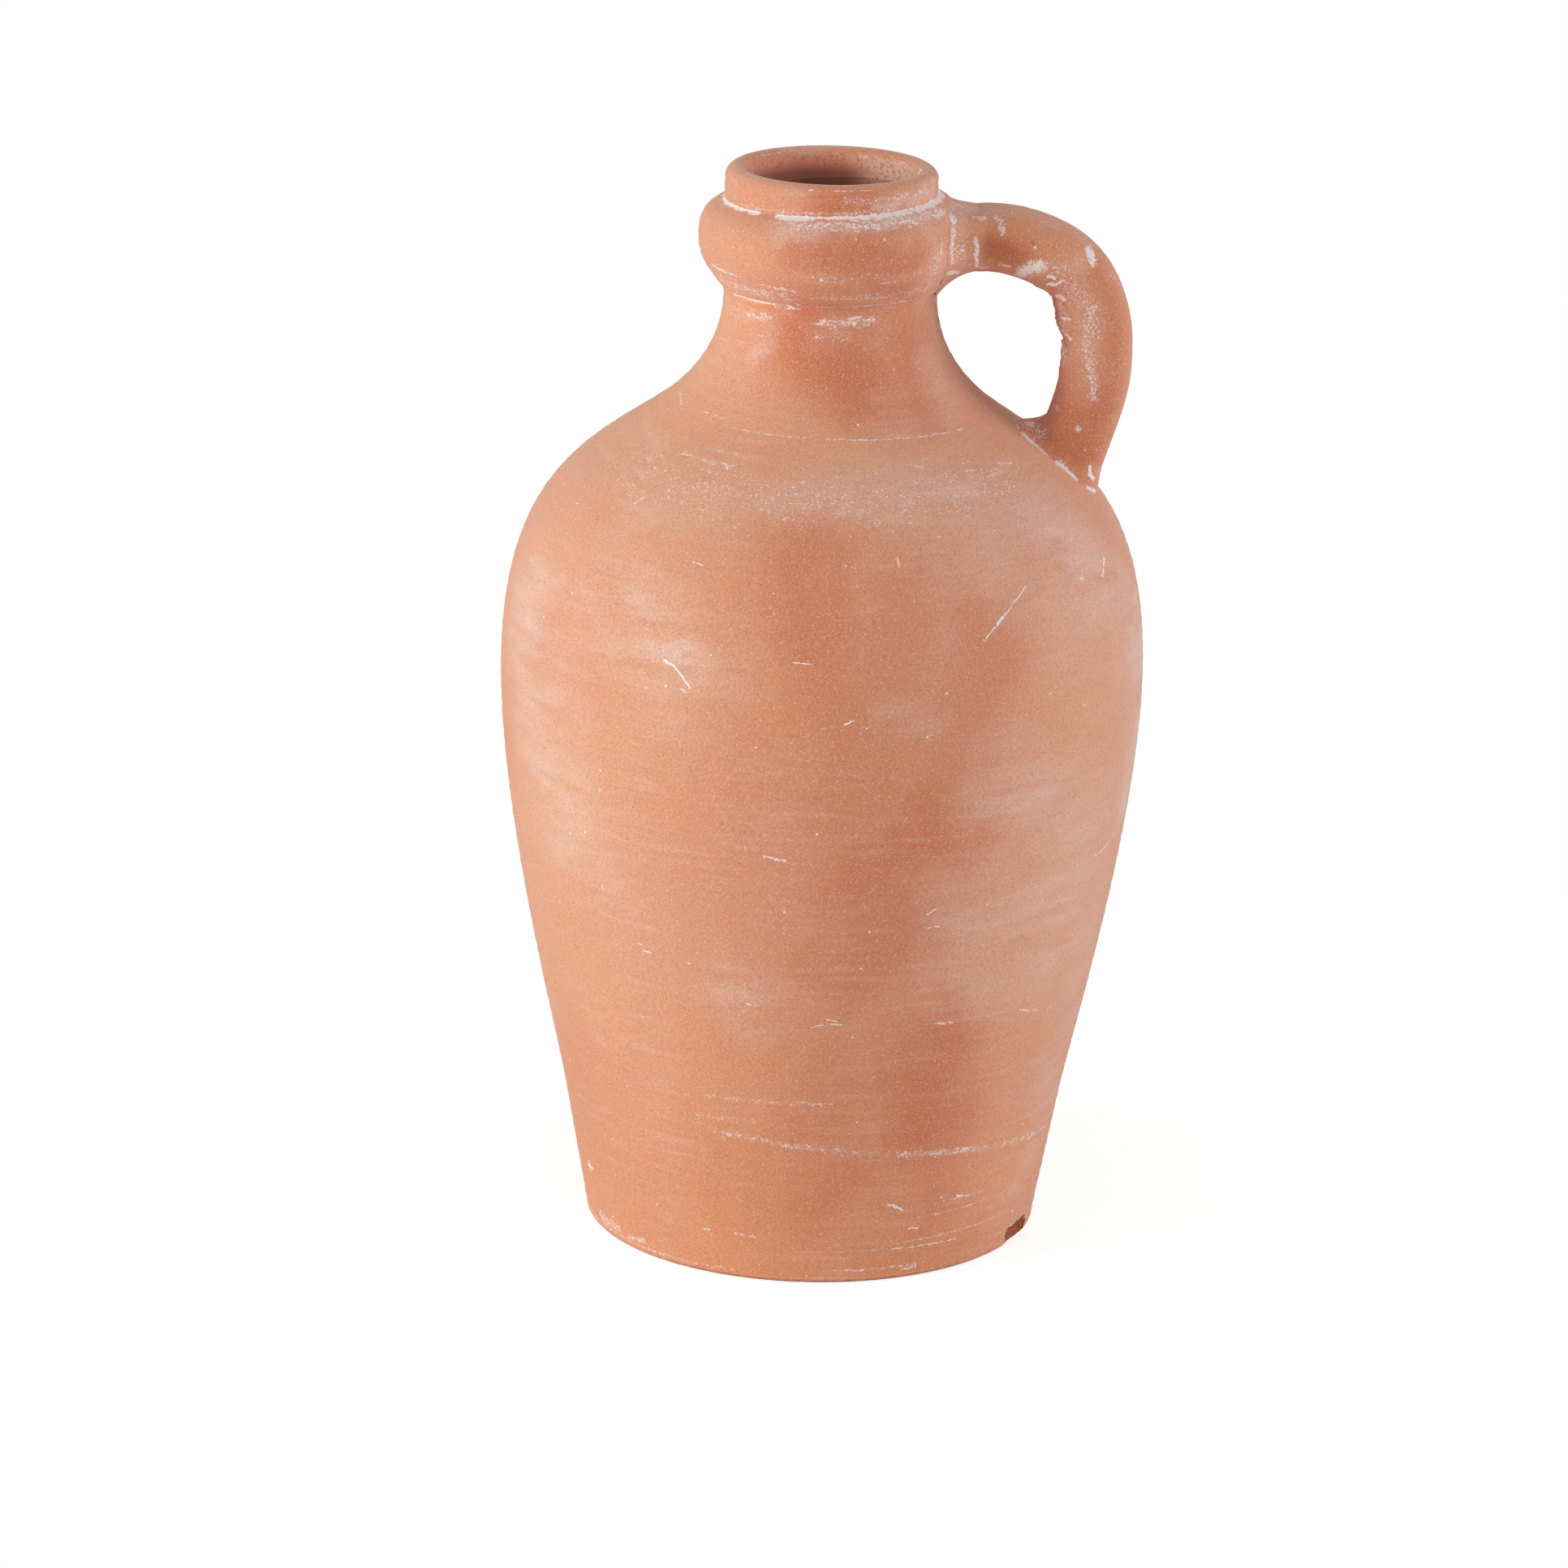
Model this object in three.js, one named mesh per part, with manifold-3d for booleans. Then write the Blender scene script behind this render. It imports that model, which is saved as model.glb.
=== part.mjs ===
// Terracotta jug: sections thrown on the wheel and stacked, with a pulled strap handle luted to them.
// Millimetres, +Z up. The origin is the centre of the foot, on the surface that the jug stands on.
// The handle springs from the collar and comes down on the shoulder, along +X.
import * as THREE from 'three';
import { mergeVertices } from 'three/addons/utils/BufferGeometryUtils.js';
import Module from 'manifold-3d';

const wasm = await Module();
wasm.setup();

// Heights of the thrown sections, from the ground up. Their sum is the height of the jug, 377.19.
const FOOT_SECTION_HEIGHT = 50;
const BODY_HEIGHT = 245.6;
const NECK_HEIGHT = 37.4;
const COLLAR_HEIGHT = 33.9;
const LIP_HEIGHT = 10.29;

// Radii of the outside. The belly is 223.52 across.
const FOOT_RADIUS = 79.4;
const LOW_SEAM_RADIUS = 88;
const BELLY_RADIUS = 111.76;
const SHOULDER_SEAM_RADIUS = 55.6;
const NECK_RADIUS = 36.7;
const COLLAR_RADIUS = 45.7;
const LIP_RADIUS = 36.5;

// The inside.
const MOUTH_RADIUS = 28.8;
const WALL = 8;
const COLLAR_WALL = 12.5;
const FLOOR = 11;
const FLOOR_FILLET = 14;

// The underside: a flat ring to stand on, round a shallow hollow.
const HOLLOW_RADIUS = 58;
const HOLLOW_DEPTH = 2.5;
const FOOT_EDGE_ROUND = 2.2;

// Shape of the belly and shoulder. A slope is the radius gained or lost for each millimetre of height,
// and a fullness is the share of its height over which a curve keeps the direction that it starts with.
const BELLY_RISE = 150;
const BELLY_FULLNESS = 0.35;
const LOW_WALL_SLOPE = 0.19;
const LOW_WALL_FULLNESS = 0.13;
const SHOULDER_SLOPE = 1.27;
const SHOULDER_TOP_FULLNESS = 0.21;
const SHOULDER_FULLNESS = 0.72;

// Shape of the neck, collar and rim.
const NECK_SLOPE = 1.1;
const NECK_BASE_FULLNESS = 0.12;
const NECK_FULLNESS = 0.56;
const COLLAR_BELLY_RISE = 19.5;
const COLLAR_FLARE_FULLNESS = 0.22;
const COLLAR_FULLNESS = 0.57;
const COLLAR_SHOULDER_FULLNESS = 0.88;
const COLLAR_LEDGE = 2;
const COLLAR_LEDGE_DROP = 1.4;
const RIM_OUTER_ROUND = 4.2;
const RIM_INNER_ROUND = 2.7;

// The joints. Each lower section ends in a ridge that the next one sits over, with a film of slip between.
const SLIP_GAP = 0.3;
const RIDGE_HEIGHT = 2;
const RIDGE_SHOULDER = 0.15;

// The strap handle. Its reach is from the collar's widest radius to the middle of the strap's upright.
const HANDLE_REACH = 46.2;
const HANDLE_ROOT_RISE = 0.8;
const HANDLE_DROP = 37.6;
const HANDLE_BEND_OUT = 0.68;
const HANDLE_BEND_UP = 0.66;
const HANDLE_UPRIGHT_FULLNESS = 0.4;
const HANDLE_FOOT_INSET = 28.8;
const HANDLE_LEAN = 0.33;
const HANDLE_STRAIGHT = 17;
const STRAP_ROOT_WIDTH = 32;
const STRAP_WIDTH = 28;
const STRAP_FOOT_WIDTH = 26;
const STRAP_ROOT_THICKNESS = 22.3;
const STRAP_THICKNESS = 24.2;
const STRAP_FOOT_THICKNESS = 24;
const STRAP_SQUARENESS = 2.7;

// The wads of luting clay at its two ends, which spread towards the pot by these amounts on each side.
const TOP_LUTING = 3.6;
const TOP_LUTING_SPREAD = 7;
const TOP_LUTING_FLARE_UP = 2.5;
const TOP_LUTING_FLARE_DOWN = 9;
const FOOT_LUTING = 7;
const FOOT_LUTING_SPREAD = 1.6;
const FOOT_LUTING_WEB = 6.5;
const LUTING_SQUARENESS = 2;
const TOP_SPREAD = { side: TOP_LUTING_SPREAD, over: TOP_LUTING_FLARE_UP, under: TOP_LUTING_FLARE_DOWN };
const FOOT_SPREAD = { side: FOOT_LUTING_SPREAD, over: FOOT_LUTING_SPREAD, under: FOOT_LUTING_WEB };

// The chip in the foot's edge, at the front right. Its azimuth is measured from +X towards +Y.
const CHIP_AZIMUTH = -24;
const CHIP_WIDTH = 21;
const CHIP_HEIGHT = 8;
const CHIP_DEPTH = 5;

// How finely the round forms are faceted.
const WIDE_FACETS = 64;
const NARROW_FACETS = 48;
const STRAP_FACETS = 20;
const BELLY_STEPS = 7;
const SHOULDER_STEPS = 8;
const NECK_STEPS = 7;
const COLLAR_STEPS = 6;
const INSIDE_STEPS = 5;
const BEND_STEPS = 11;
const UPRIGHT_STEPS = 7;
const LUTING_STEPS = 6;
const HALVINGS = 40;
const WELD = 1e-4;

const CLAY = { body: '#cf8a67', foot: '#cb8560', neck: '#cd8763', collar: '#cc8460', lip: '#cf8662' };
const CLAY_OF_HANDLE = { strap: '#cc8461', luting: '#c98260' };

// Heights of the seams, and of the widest places.
const lowSeamHeight = FOOT_SECTION_HEIGHT;
const bellyHeight = lowSeamHeight + BELLY_RISE;
const shoulderSeamHeight = lowSeamHeight + BODY_HEIGHT;
const creaseHeight = shoulderSeamHeight + NECK_HEIGHT;
const collarWidestHeight = creaseHeight + COLLAR_BELLY_RISE;
const grooveHeight = creaseHeight + COLLAR_HEIGHT;
const topHeight = grooveHeight + LIP_HEIGHT;

const at = (radius, height) => new THREE.Vector2(radius, height);

// The outside, as curves that run upwards.
const footLine = new THREE.LineCurve(at(FOOT_RADIUS, FOOT_EDGE_ROUND), at(LOW_SEAM_RADIUS, lowSeamHeight));
const lowWallPull = BELLY_RISE * LOW_WALL_FULLNESS;
const bellyCurve = new THREE.CubicBezierCurve(
  at(LOW_SEAM_RADIUS, lowSeamHeight),
  at(LOW_SEAM_RADIUS + lowWallPull * LOW_WALL_SLOPE, lowSeamHeight + lowWallPull),
  at(BELLY_RADIUS, bellyHeight - BELLY_RISE * BELLY_FULLNESS),
  at(BELLY_RADIUS, bellyHeight),
);
const shoulderRise = shoulderSeamHeight - bellyHeight;
const shoulderPull = shoulderRise * SHOULDER_TOP_FULLNESS;
const shoulderCurve = new THREE.CubicBezierCurve(
  at(BELLY_RADIUS, bellyHeight),
  at(BELLY_RADIUS, bellyHeight + shoulderRise * SHOULDER_FULLNESS),
  at(SHOULDER_SEAM_RADIUS + shoulderPull * SHOULDER_SLOPE, shoulderSeamHeight - shoulderPull),
  at(SHOULDER_SEAM_RADIUS, shoulderSeamHeight),
);
const neckPull = NECK_HEIGHT * NECK_BASE_FULLNESS;
const neckCurve = new THREE.CubicBezierCurve(
  at(SHOULDER_SEAM_RADIUS, shoulderSeamHeight),
  at(SHOULDER_SEAM_RADIUS - neckPull * NECK_SLOPE, shoulderSeamHeight + neckPull),
  at(NECK_RADIUS, creaseHeight - NECK_HEIGHT * NECK_FULLNESS),
  at(NECK_RADIUS, creaseHeight),
);
const collarFlare = new THREE.CubicBezierCurve(
  at(NECK_RADIUS, creaseHeight),
  at(NECK_RADIUS, creaseHeight + COLLAR_BELLY_RISE * COLLAR_FLARE_FULLNESS),
  at(COLLAR_RADIUS, collarWidestHeight - COLLAR_BELLY_RISE * COLLAR_FULLNESS),
  at(COLLAR_RADIUS, collarWidestHeight),
);
const collarShoulder = new THREE.CubicBezierCurve(
  at(COLLAR_RADIUS, collarWidestHeight),
  at(COLLAR_RADIUS, collarWidestHeight + (grooveHeight - collarWidestHeight) * COLLAR_SHOULDER_FULLNESS),
  at(LIP_RADIUS + COLLAR_LEDGE, grooveHeight - COLLAR_LEDGE_DROP),
  at(LIP_RADIUS, grooveHeight),
);

/** A point of an upward curve, moved out of the clay by a distance, or into it by a negative one. */
function beside(curve, t, distance) {
  const along = curve.getTangent(t);
  return curve.getPoint(t).add(at(along.y, -along.x).multiplyScalar(distance));
}

/** Points beside a curve at a distance. The first end is left out, and the last unless it is asked for. */
function between(curve, steps, distance = 0, last = steps - 1) {
  const points = [];
  for (let step = 1; step <= last; step += 1) {
    points.push(beside(curve, step / steps, distance));
  }
  return points;
}

/** Points on a quarter circle from one compass angle to another, in degrees. */
function corner(radius, height, round, from, to, steps = 3) {
  const points = [];
  for (let step = 0; step <= steps; step += 1) {
    const angle = THREE.MathUtils.degToRad(THREE.MathUtils.lerp(from, to, step / steps));
    points.push(at(radius + round * Math.cos(angle), height + round * Math.sin(angle)));
  }
  return points;
}

/** The two faces of a joint through the wall, each from the outside in: a ridge, and the hollow over it. */
function seam(outer, inner) {
  const through = inner.clone().sub(outer);
  const up = at(through.y, -through.x).normalize();
  const shares = [0, RIDGE_SHOULDER, 0.5, 1 - RIDGE_SHOULDER, 1];
  const ridge = shares.map((share) => outer.clone().addScaledVector(through, share));
  ridge[2].addScaledVector(up, RIDGE_HEIGHT);
  const hollow = ridge.map((point) => point.clone().addScaledVector(up, SLIP_GAP));
  return { ridge, hollow };
}

const lowSeam = seam(at(LOW_SEAM_RADIUS, lowSeamHeight), at(LOW_SEAM_RADIUS - WALL, lowSeamHeight));
const shoulderSeam = seam(shoulderCurve.getPoint(1), beside(shoulderCurve, 1, -WALL));
const creaseSeam = seam(at(NECK_RADIUS, creaseHeight), at(NECK_RADIUS - WALL, creaseHeight));
const grooveSeam = seam(at(LIP_RADIUS, grooveHeight), at(MOUTH_RADIUS, grooveHeight));

/** Turns an outline round the upright axis. The outline closes on itself, or starts and ends on the axis. */
function turned(outline, facets) {
  return new THREE.LatheGeometry(outline, facets).rotateX(Math.PI / 2);
}

/** Closes an outline on itself, for a ring that stays clear of the axis. */
function ring(outline) {
  return [...outline, outline[0].clone()];
}

/** A solid for cutting and joining, from a closed geometry. */
function solidOf(geometry) {
  const bare = geometry.clone();
  bare.deleteAttribute('normal');
  bare.deleteAttribute('uv');
  const welded = mergeVertices(bare, WELD);
  const corners = welded.index.array;
  const kept = [];
  for (let i = 0; i < corners.length; i += 3) {
    const [a, b, c] = corners.slice(i, i + 3);
    if (a !== b && b !== c && c !== a) {
      kept.push(a, b, c);
    }
  }
  const vertProperties = new Float32Array(welded.attributes.position.array);
  return new wasm.Manifold(new wasm.Mesh({ numProp: 3, vertProperties, triVerts: new Uint32Array(kept) }));
}

/** The geometry of a solid that has been cut or joined. */
function geometryOf(solid) {
  const { vertProperties, triVerts } = solid.getMesh();
  const geometry = new THREE.BufferGeometry();
  geometry.setAttribute('position', new THREE.BufferAttribute(vertProperties, 3));
  geometry.setIndex(new THREE.BufferAttribute(triVerts, 1));
  geometry.computeVertexNormals();
  return geometry;
}

/** A named piece of fired clay. */
function piece(name, geometry, colour) {
  const clay = new THREE.MeshStandardMaterial({ color: colour, roughness: 0.92, metalness: 0 });
  clay.name = `${name}_clay`;
  const mesh = new THREE.Mesh(geometry, clay);
  mesh.name = name;
  return mesh;
}

/** The floor and the low wall. The chip is broken out of the edge that it stands on. */
function footSection() {
  const edge = FOOT_EDGE_ROUND;
  const inside = at(FOOT_RADIUS - WALL, FLOOR);
  const outline = [
    at(0, HOLLOW_DEPTH),
    at(HOLLOW_RADIUS - HOLLOW_DEPTH, HOLLOW_DEPTH),
    at(HOLLOW_RADIUS, 0),
    ...corner(FOOT_RADIUS - edge, edge, edge, -90, 0),
    footLine.getPoint(0.5),
    ...lowSeam.ridge,
    ...corner(inside.x - FLOOR_FILLET, inside.y + FLOOR_FILLET, FLOOR_FILLET, 0, -90),
    at(0, FLOOR),
  ];
  const whole = solidOf(turned(outline, WIDE_FACETS));
  return piece('foot_section', geometryOf(whole.subtract(chip())), CLAY.foot);
}

/** The scoop of the chip: a rough, faceted hollow across the foot's lower edge. */
function chip() {
  const scoop = new THREE.IcosahedronGeometry(1, 1);
  scoop.scale(CHIP_DEPTH, CHIP_WIDTH / 2, CHIP_HEIGHT);
  scoop.translate(FOOT_RADIUS, 0, 0);
  scoop.rotateZ(THREE.MathUtils.degToRad(CHIP_AZIMUTH));
  return solidOf(scoop);
}

/** The belly and the shoulder, open at both ends. */
function bodyWall() {
  const outline = ring([
    ...lowSeam.hollow.toReversed(),
    ...between(bellyCurve, BELLY_STEPS, 0, BELLY_STEPS),
    ...between(shoulderCurve, SHOULDER_STEPS),
    ...shoulderSeam.ridge,
    ...between(shoulderCurve, INSIDE_STEPS, -WALL).toReversed(),
    ...between(bellyCurve, INSIDE_STEPS, -WALL, INSIDE_STEPS).toReversed(),
  ]);
  return piece('body_wall', turned(outline, WIDE_FACETS), CLAY.body);
}

/** The neck, waisted below the collar. */
function neckSection() {
  const outline = ring([
    ...shoulderSeam.hollow.toReversed(),
    ...between(neckCurve, NECK_STEPS),
    ...creaseSeam.ridge,
    ...between(neckCurve, INSIDE_STEPS, -WALL).toReversed(),
  ]);
  return piece('neck_section', turned(outline, NARROW_FACETS), CLAY.neck);
}

/** The swollen ring round the top of the neck, hollowed inside as it is outside. */
function collarRing() {
  const low = creaseSeam.hollow.at(-1);
  const high = grooveSeam.ridge.at(-1);
  const widest = COLLAR_RADIUS - COLLAR_WALL;
  const pull = 2 * widest - (low.x + high.x) / 2;
  const inside = new THREE.QuadraticBezierCurve(low, at(pull, (low.y + high.y) / 2), high);
  const outline = ring([
    ...creaseSeam.hollow.toReversed(),
    ...between(collarFlare, COLLAR_STEPS, 0, COLLAR_STEPS),
    ...between(collarShoulder, COLLAR_STEPS),
    ...grooveSeam.ridge,
    ...between(inside, INSIDE_STEPS).toReversed(),
  ]);
  return piece('collar_ring', turned(outline, NARROW_FACETS), CLAY.collar);
}

/** The plain band above the groove, with its rounded rim. */
function lipRing() {
  const outline = ring([
    ...grooveSeam.hollow.toReversed(),
    ...corner(LIP_RADIUS - RIM_OUTER_ROUND, topHeight - RIM_OUTER_ROUND, RIM_OUTER_ROUND, 0, 90, 4),
    ...corner(MOUTH_RADIUS + RIM_INNER_ROUND, topHeight - RIM_INNER_ROUND, RIM_INNER_ROUND, 90, 180),
  ]);
  return piece('lip_ring', turned(outline, NARROW_FACETS), CLAY.lip);
}

/** The shoulder and neck without their hollow, a film of slip larger, for seating the handle's foot. */
function shoulderSeat() {
  const outline = [
    at(0, lowSeamHeight),
    beside(bellyCurve, 0, SLIP_GAP),
    ...between(bellyCurve, BELLY_STEPS, SLIP_GAP, BELLY_STEPS),
    ...between(shoulderCurve, SHOULDER_STEPS, SLIP_GAP),
    beside(shoulderCurve, 1, SLIP_GAP),
    ...between(neckCurve, NECK_STEPS, SLIP_GAP, NECK_STEPS),
    at(0, creaseHeight),
  ];
  return solidOf(turned(outline, WIDE_FACETS));
}

/** The neck, collar and lip without their hollow, a film of slip larger, for seating the handle's root. */
function collarSeat() {
  const outline = [
    at(0, shoulderSeamHeight),
    beside(neckCurve, 0, SLIP_GAP),
    ...between(neckCurve, NECK_STEPS, SLIP_GAP),
    ...between(collarFlare, COLLAR_STEPS, SLIP_GAP, COLLAR_STEPS),
    ...between(collarShoulder, COLLAR_STEPS, SLIP_GAP),
    at(LIP_RADIUS + SLIP_GAP, grooveHeight + SLIP_GAP),
    at(LIP_RADIUS + SLIP_GAP, topHeight),
    at(0, topHeight),
  ];
  return solidOf(turned(outline, NARROW_FACETS));
}

/** Where the shoulder has a given radius: the share of its curve, found by halving. */
function shoulderShare(radius) {
  let low = 0;
  let high = 1;
  for (let turn = 0; turn < HALVINGS; turn += 1) {
    const middle = (low + high) / 2;
    if (shoulderCurve.getPoint(middle).x > radius) {
      low = middle;
    } else {
      high = middle;
    }
  }
  return low;
}

// The middle line of the strap, in the plane of X and Z: out from the collar and down to the shoulder.
const across = (x, z) => new THREE.Vector3(x, 0, z);
const rootX = COLLAR_RADIUS + TOP_LUTING;
const rootZ = collarWidestHeight + HANDLE_ROOT_RISE;
const reachX = COLLAR_RADIUS + HANDLE_REACH;
const reachZ = rootZ - HANDLE_DROP;
const footShare = shoulderShare(BELLY_RADIUS - HANDLE_FOOT_INSET);
const footPoint = across(...shoulderCurve.getPoint(footShare).toArray());
const footOut = across(...beside(shoulderCurve, footShare, 1).toArray()).sub(footPoint);
const footDownhill = across(footOut.z, -footOut.x);
const footWay = across(-HANDLE_LEAN, -1).normalize();
const footSlant = -footWay.dot(footOut);
const straightStart = footPoint.clone().addScaledVector(footWay, -HANDLE_STRAIGHT);
const uprightPull = (reachZ - straightStart.z) * HANDLE_UPRIGHT_FULLNESS;
const bend = new THREE.CubicBezierCurve3(
  across(rootX, rootZ),
  across(rootX + (reachX - rootX) * HANDLE_BEND_OUT, rootZ),
  across(reachX, reachZ + HANDLE_DROP * HANDLE_BEND_UP),
  across(reachX, reachZ),
);
const upright = new THREE.CubicBezierCurve3(
  across(reachX, reachZ),
  across(reachX, reachZ - uprightPull),
  straightStart.clone().addScaledVector(footWay, -uprightPull),
  straightStart,
);
const straightEnd = footPoint.clone().addScaledVector(footWay, HANDLE_STRAIGHT);
const straight = new THREE.LineCurve3(straightStart, straightEnd);

/** A ring about a middle point: an oblong, from oval at a squareness of 2 to nearly square-cornered. */
function oblongRing(middle, outward, { width, over, under, squareness }) {
  const squared = (share) => Math.sign(share) * Math.abs(share) ** (2 / squareness);
  const points = [];
  for (let step = 0; step < STRAP_FACETS; step += 1) {
    const angle = (2 * Math.PI * step) / STRAP_FACETS;
    const lift = squared(Math.sin(angle));
    const point = middle.clone().addScaledVector(outward, lift * (lift > 0 ? over : under));
    point.y = squared(Math.cos(angle)) * (width / 2);
    points.push(point);
  }
  return points;
}

/** A closed skin over rings of equal count, from the first ring to the last. */
function loft(rings) {
  const count = rings[0].length;
  const centre = (points) => points.reduce((sum, point) => sum.add(point), across(0, 0)).divideScalar(count);
  const corners = [...rings.flat(), centre(rings[0]), centre(rings.at(-1))];
  const start = corners.length - 2;
  const end = corners.length - 1;
  const faces = [];
  for (let spoke = 0; spoke < count; spoke += 1) {
    const next = (spoke + 1) % count;
    for (let row = 0; row < rings.length - 1; row += 1) {
      const here = row * count;
      const there = here + count;
      faces.push(here + spoke, here + next, there + next);
      faces.push(here + spoke, there + next, there + spoke);
    }
    faces.push(start, next, spoke);
    faces.push(end, start - count + spoke, start - count + next);
  }
  const geometry = new THREE.BufferGeometry().setFromPoints(corners);
  geometry.setIndex(faces);
  return geometry;
}

/** The strap's own section, at a width along Y and a thickness. */
function oblong(width, thickness) {
  return { width, over: thickness / 2, under: thickness / 2, squareness: STRAP_SQUARENESS };
}

const rootSection = oblong(STRAP_ROOT_WIDTH, STRAP_ROOT_THICKNESS);
const middleSection = oblong(STRAP_WIDTH, STRAP_THICKNESS);
const lowSection = oblong(STRAP_FOOT_WIDTH, STRAP_FOOT_THICKNESS);

/** Rings square to one stretch of the strap's middle line, from one section to another. */
function stretch(curve, from, to, steps, first = 0) {
  const rings = [];
  for (let step = first; step <= steps; step += 1) {
    const share = step / steps;
    const ease = THREE.MathUtils.smoothstep(share, 0, 1);
    const along = curve.getTangent(share);
    const section = {
      width: THREE.MathUtils.lerp(from.width, to.width, ease),
      over: THREE.MathUtils.lerp(from.over, to.over, ease),
      under: THREE.MathUtils.lerp(from.under, to.under, ease),
      squareness: STRAP_SQUARENESS,
    };
    rings.push(oblongRing(curve.getPoint(share), across(-along.z, along.x), section));
  }
  return rings;
}

/** A strap section spread by a wad's amounts: not at all at a share of 1, and in full at a share of 0. */
function spread(section, share, amounts) {
  const flare = (1 - share) ** 2;
  return {
    width: section.width + 2 * amounts.side * flare,
    over: section.over + amounts.over * flare,
    under: section.under + amounts.under * flare,
    squareness: THREE.MathUtils.lerp(STRAP_SQUARENESS, LUTING_SQUARENESS, flare),
  };
}

/** All the space under a plane laid over the shoulder at the handle's foot, at a height above the clay. */
function belowPlane(height) {
  const size = 2 * BELLY_RADIUS;
  const slab = new THREE.BoxGeometry(size, size, size).translate(0, 0, -size / 2);
  slab.rotateY(Math.atan2(footOut.x, footOut.z));
  slab.translate(...footPoint.clone().addScaledVector(footOut, height).toArray());
  return solidOf(slab);
}

/** The pulled strap, cut square at the root and along the slope of the shoulder at the foot. */
function handle() {
  const rings = [
    ...stretch(bend, rootSection, middleSection, BEND_STEPS),
    ...stretch(upright, middleSection, lowSection, UPRIGHT_STEPS, 1),
    ...stretch(straight, lowSection, lowSection, 1, 1),
  ];
  const strap = solidOf(loft(rings)).subtract(belowPlane(FOOT_LUTING + SLIP_GAP));
  return piece('handle', geometryOf(strap), CLAY_OF_HANDLE.strap);
}

/** The wad between the collar and the strap, spread wider and lower against the collar. */
function handleTopLuting() {
  const rings = [];
  const addRing = (x, share) => {
    rings.push(oblongRing(across(x, rootZ), across(0, 1), spread(rootSection, share, TOP_SPREAD)));
  };
  addRing(MOUTH_RADIUS, 0);
  for (let step = 0; step <= LUTING_STEPS; step += 1) {
    const share = step / LUTING_STEPS;
    addRing(THREE.MathUtils.lerp(LIP_RADIUS, rootX - SLIP_GAP, share), share);
  }
  const wad = solidOf(loft(rings)).subtract(collarSeat());
  return piece('handle_top_luting', geometryOf(wad), CLAY_OF_HANDLE.luting);
}

/** The pad between the strap's foot and the shoulder, with a web on the side of the neck. */
function handleFootLuting() {
  const slanted = oblong(STRAP_FOOT_WIDTH, STRAP_FOOT_THICKNESS / footSlant);
  const rings = [];
  for (let step = 0; step <= LUTING_STEPS + 1; step += 1) {
    const height = FOOT_LUTING * (1 - step / LUTING_STEPS);
    const middle = footPoint.clone().addScaledVector(footWay, -height / footSlant);
    const share = Math.max(height, 0) / FOOT_LUTING;
    rings.push(oblongRing(middle, footDownhill, spread(slanted, share, FOOT_SPREAD)));
  }
  const pad = solidOf(loft(rings)).subtract(shoulderSeat());
  return piece('handle_foot_luting', geometryOf(pad), CLAY_OF_HANDLE.luting);
}

const jug = new THREE.Group();
jug.name = 'terracotta_jug';
jug.add(footSection(), bodyWall(), neckSection(), collarRing(), lipRing());
jug.add(handle(), handleTopLuting(), handleFootLuting());

export default jug;
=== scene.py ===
"""A terracotta jug: its fired clay, the lime in its creases and its scratches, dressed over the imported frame.

The jug was thrown in five sections, and its pulled strap handle was luted on with two wads of clay.
Sizes are in millimetres unless a name says otherwise, and become metres when a mesh is made. Azimuths
are in degrees round the upright axis: 0 is the side that the camera faces and 90 is under the handle.
"""

import logging
import math
from dataclasses import astuple, dataclass, field
from enum import Enum
from functools import cached_property
from typing import ClassVar, Iterator, Self, Sequence

import bpy
import numpy as np
from mathutils import Matrix, Vector, noise


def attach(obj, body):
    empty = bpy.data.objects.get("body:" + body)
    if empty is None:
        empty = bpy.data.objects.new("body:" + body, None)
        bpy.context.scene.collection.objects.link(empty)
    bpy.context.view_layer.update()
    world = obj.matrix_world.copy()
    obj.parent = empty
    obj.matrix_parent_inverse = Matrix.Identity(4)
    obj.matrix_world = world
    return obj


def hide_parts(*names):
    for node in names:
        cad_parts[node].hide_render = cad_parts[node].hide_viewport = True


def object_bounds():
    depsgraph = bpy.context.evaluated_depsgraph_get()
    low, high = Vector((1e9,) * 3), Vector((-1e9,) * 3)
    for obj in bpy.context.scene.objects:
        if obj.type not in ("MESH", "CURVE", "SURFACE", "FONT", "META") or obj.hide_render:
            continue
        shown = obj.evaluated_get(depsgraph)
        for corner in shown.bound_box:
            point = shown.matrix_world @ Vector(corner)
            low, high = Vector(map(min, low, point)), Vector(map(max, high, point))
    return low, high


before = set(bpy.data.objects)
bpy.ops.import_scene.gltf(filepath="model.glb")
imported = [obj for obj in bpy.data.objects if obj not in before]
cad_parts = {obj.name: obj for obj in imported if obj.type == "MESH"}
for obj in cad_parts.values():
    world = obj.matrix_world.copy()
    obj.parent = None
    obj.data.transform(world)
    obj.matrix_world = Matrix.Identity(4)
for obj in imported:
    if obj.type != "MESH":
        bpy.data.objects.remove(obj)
cad_low, cad_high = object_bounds()

log = logging.getLogger("jug")

METRE = 1000.0
FULL_TURN = 360.0
SAME_PLACE = 1e-6
ON_AXIS = 0.01
BODY = "root"

Point = tuple[float, float]
Triple = tuple[float, float, float]
Colour = tuple[float, float, float]
Faces = list[tuple[int, ...]]
Socket = bpy.types.NodeSocket
Value = Socket | float | tuple[float, ...]
Inputs = dict[str | int, Value]


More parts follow.
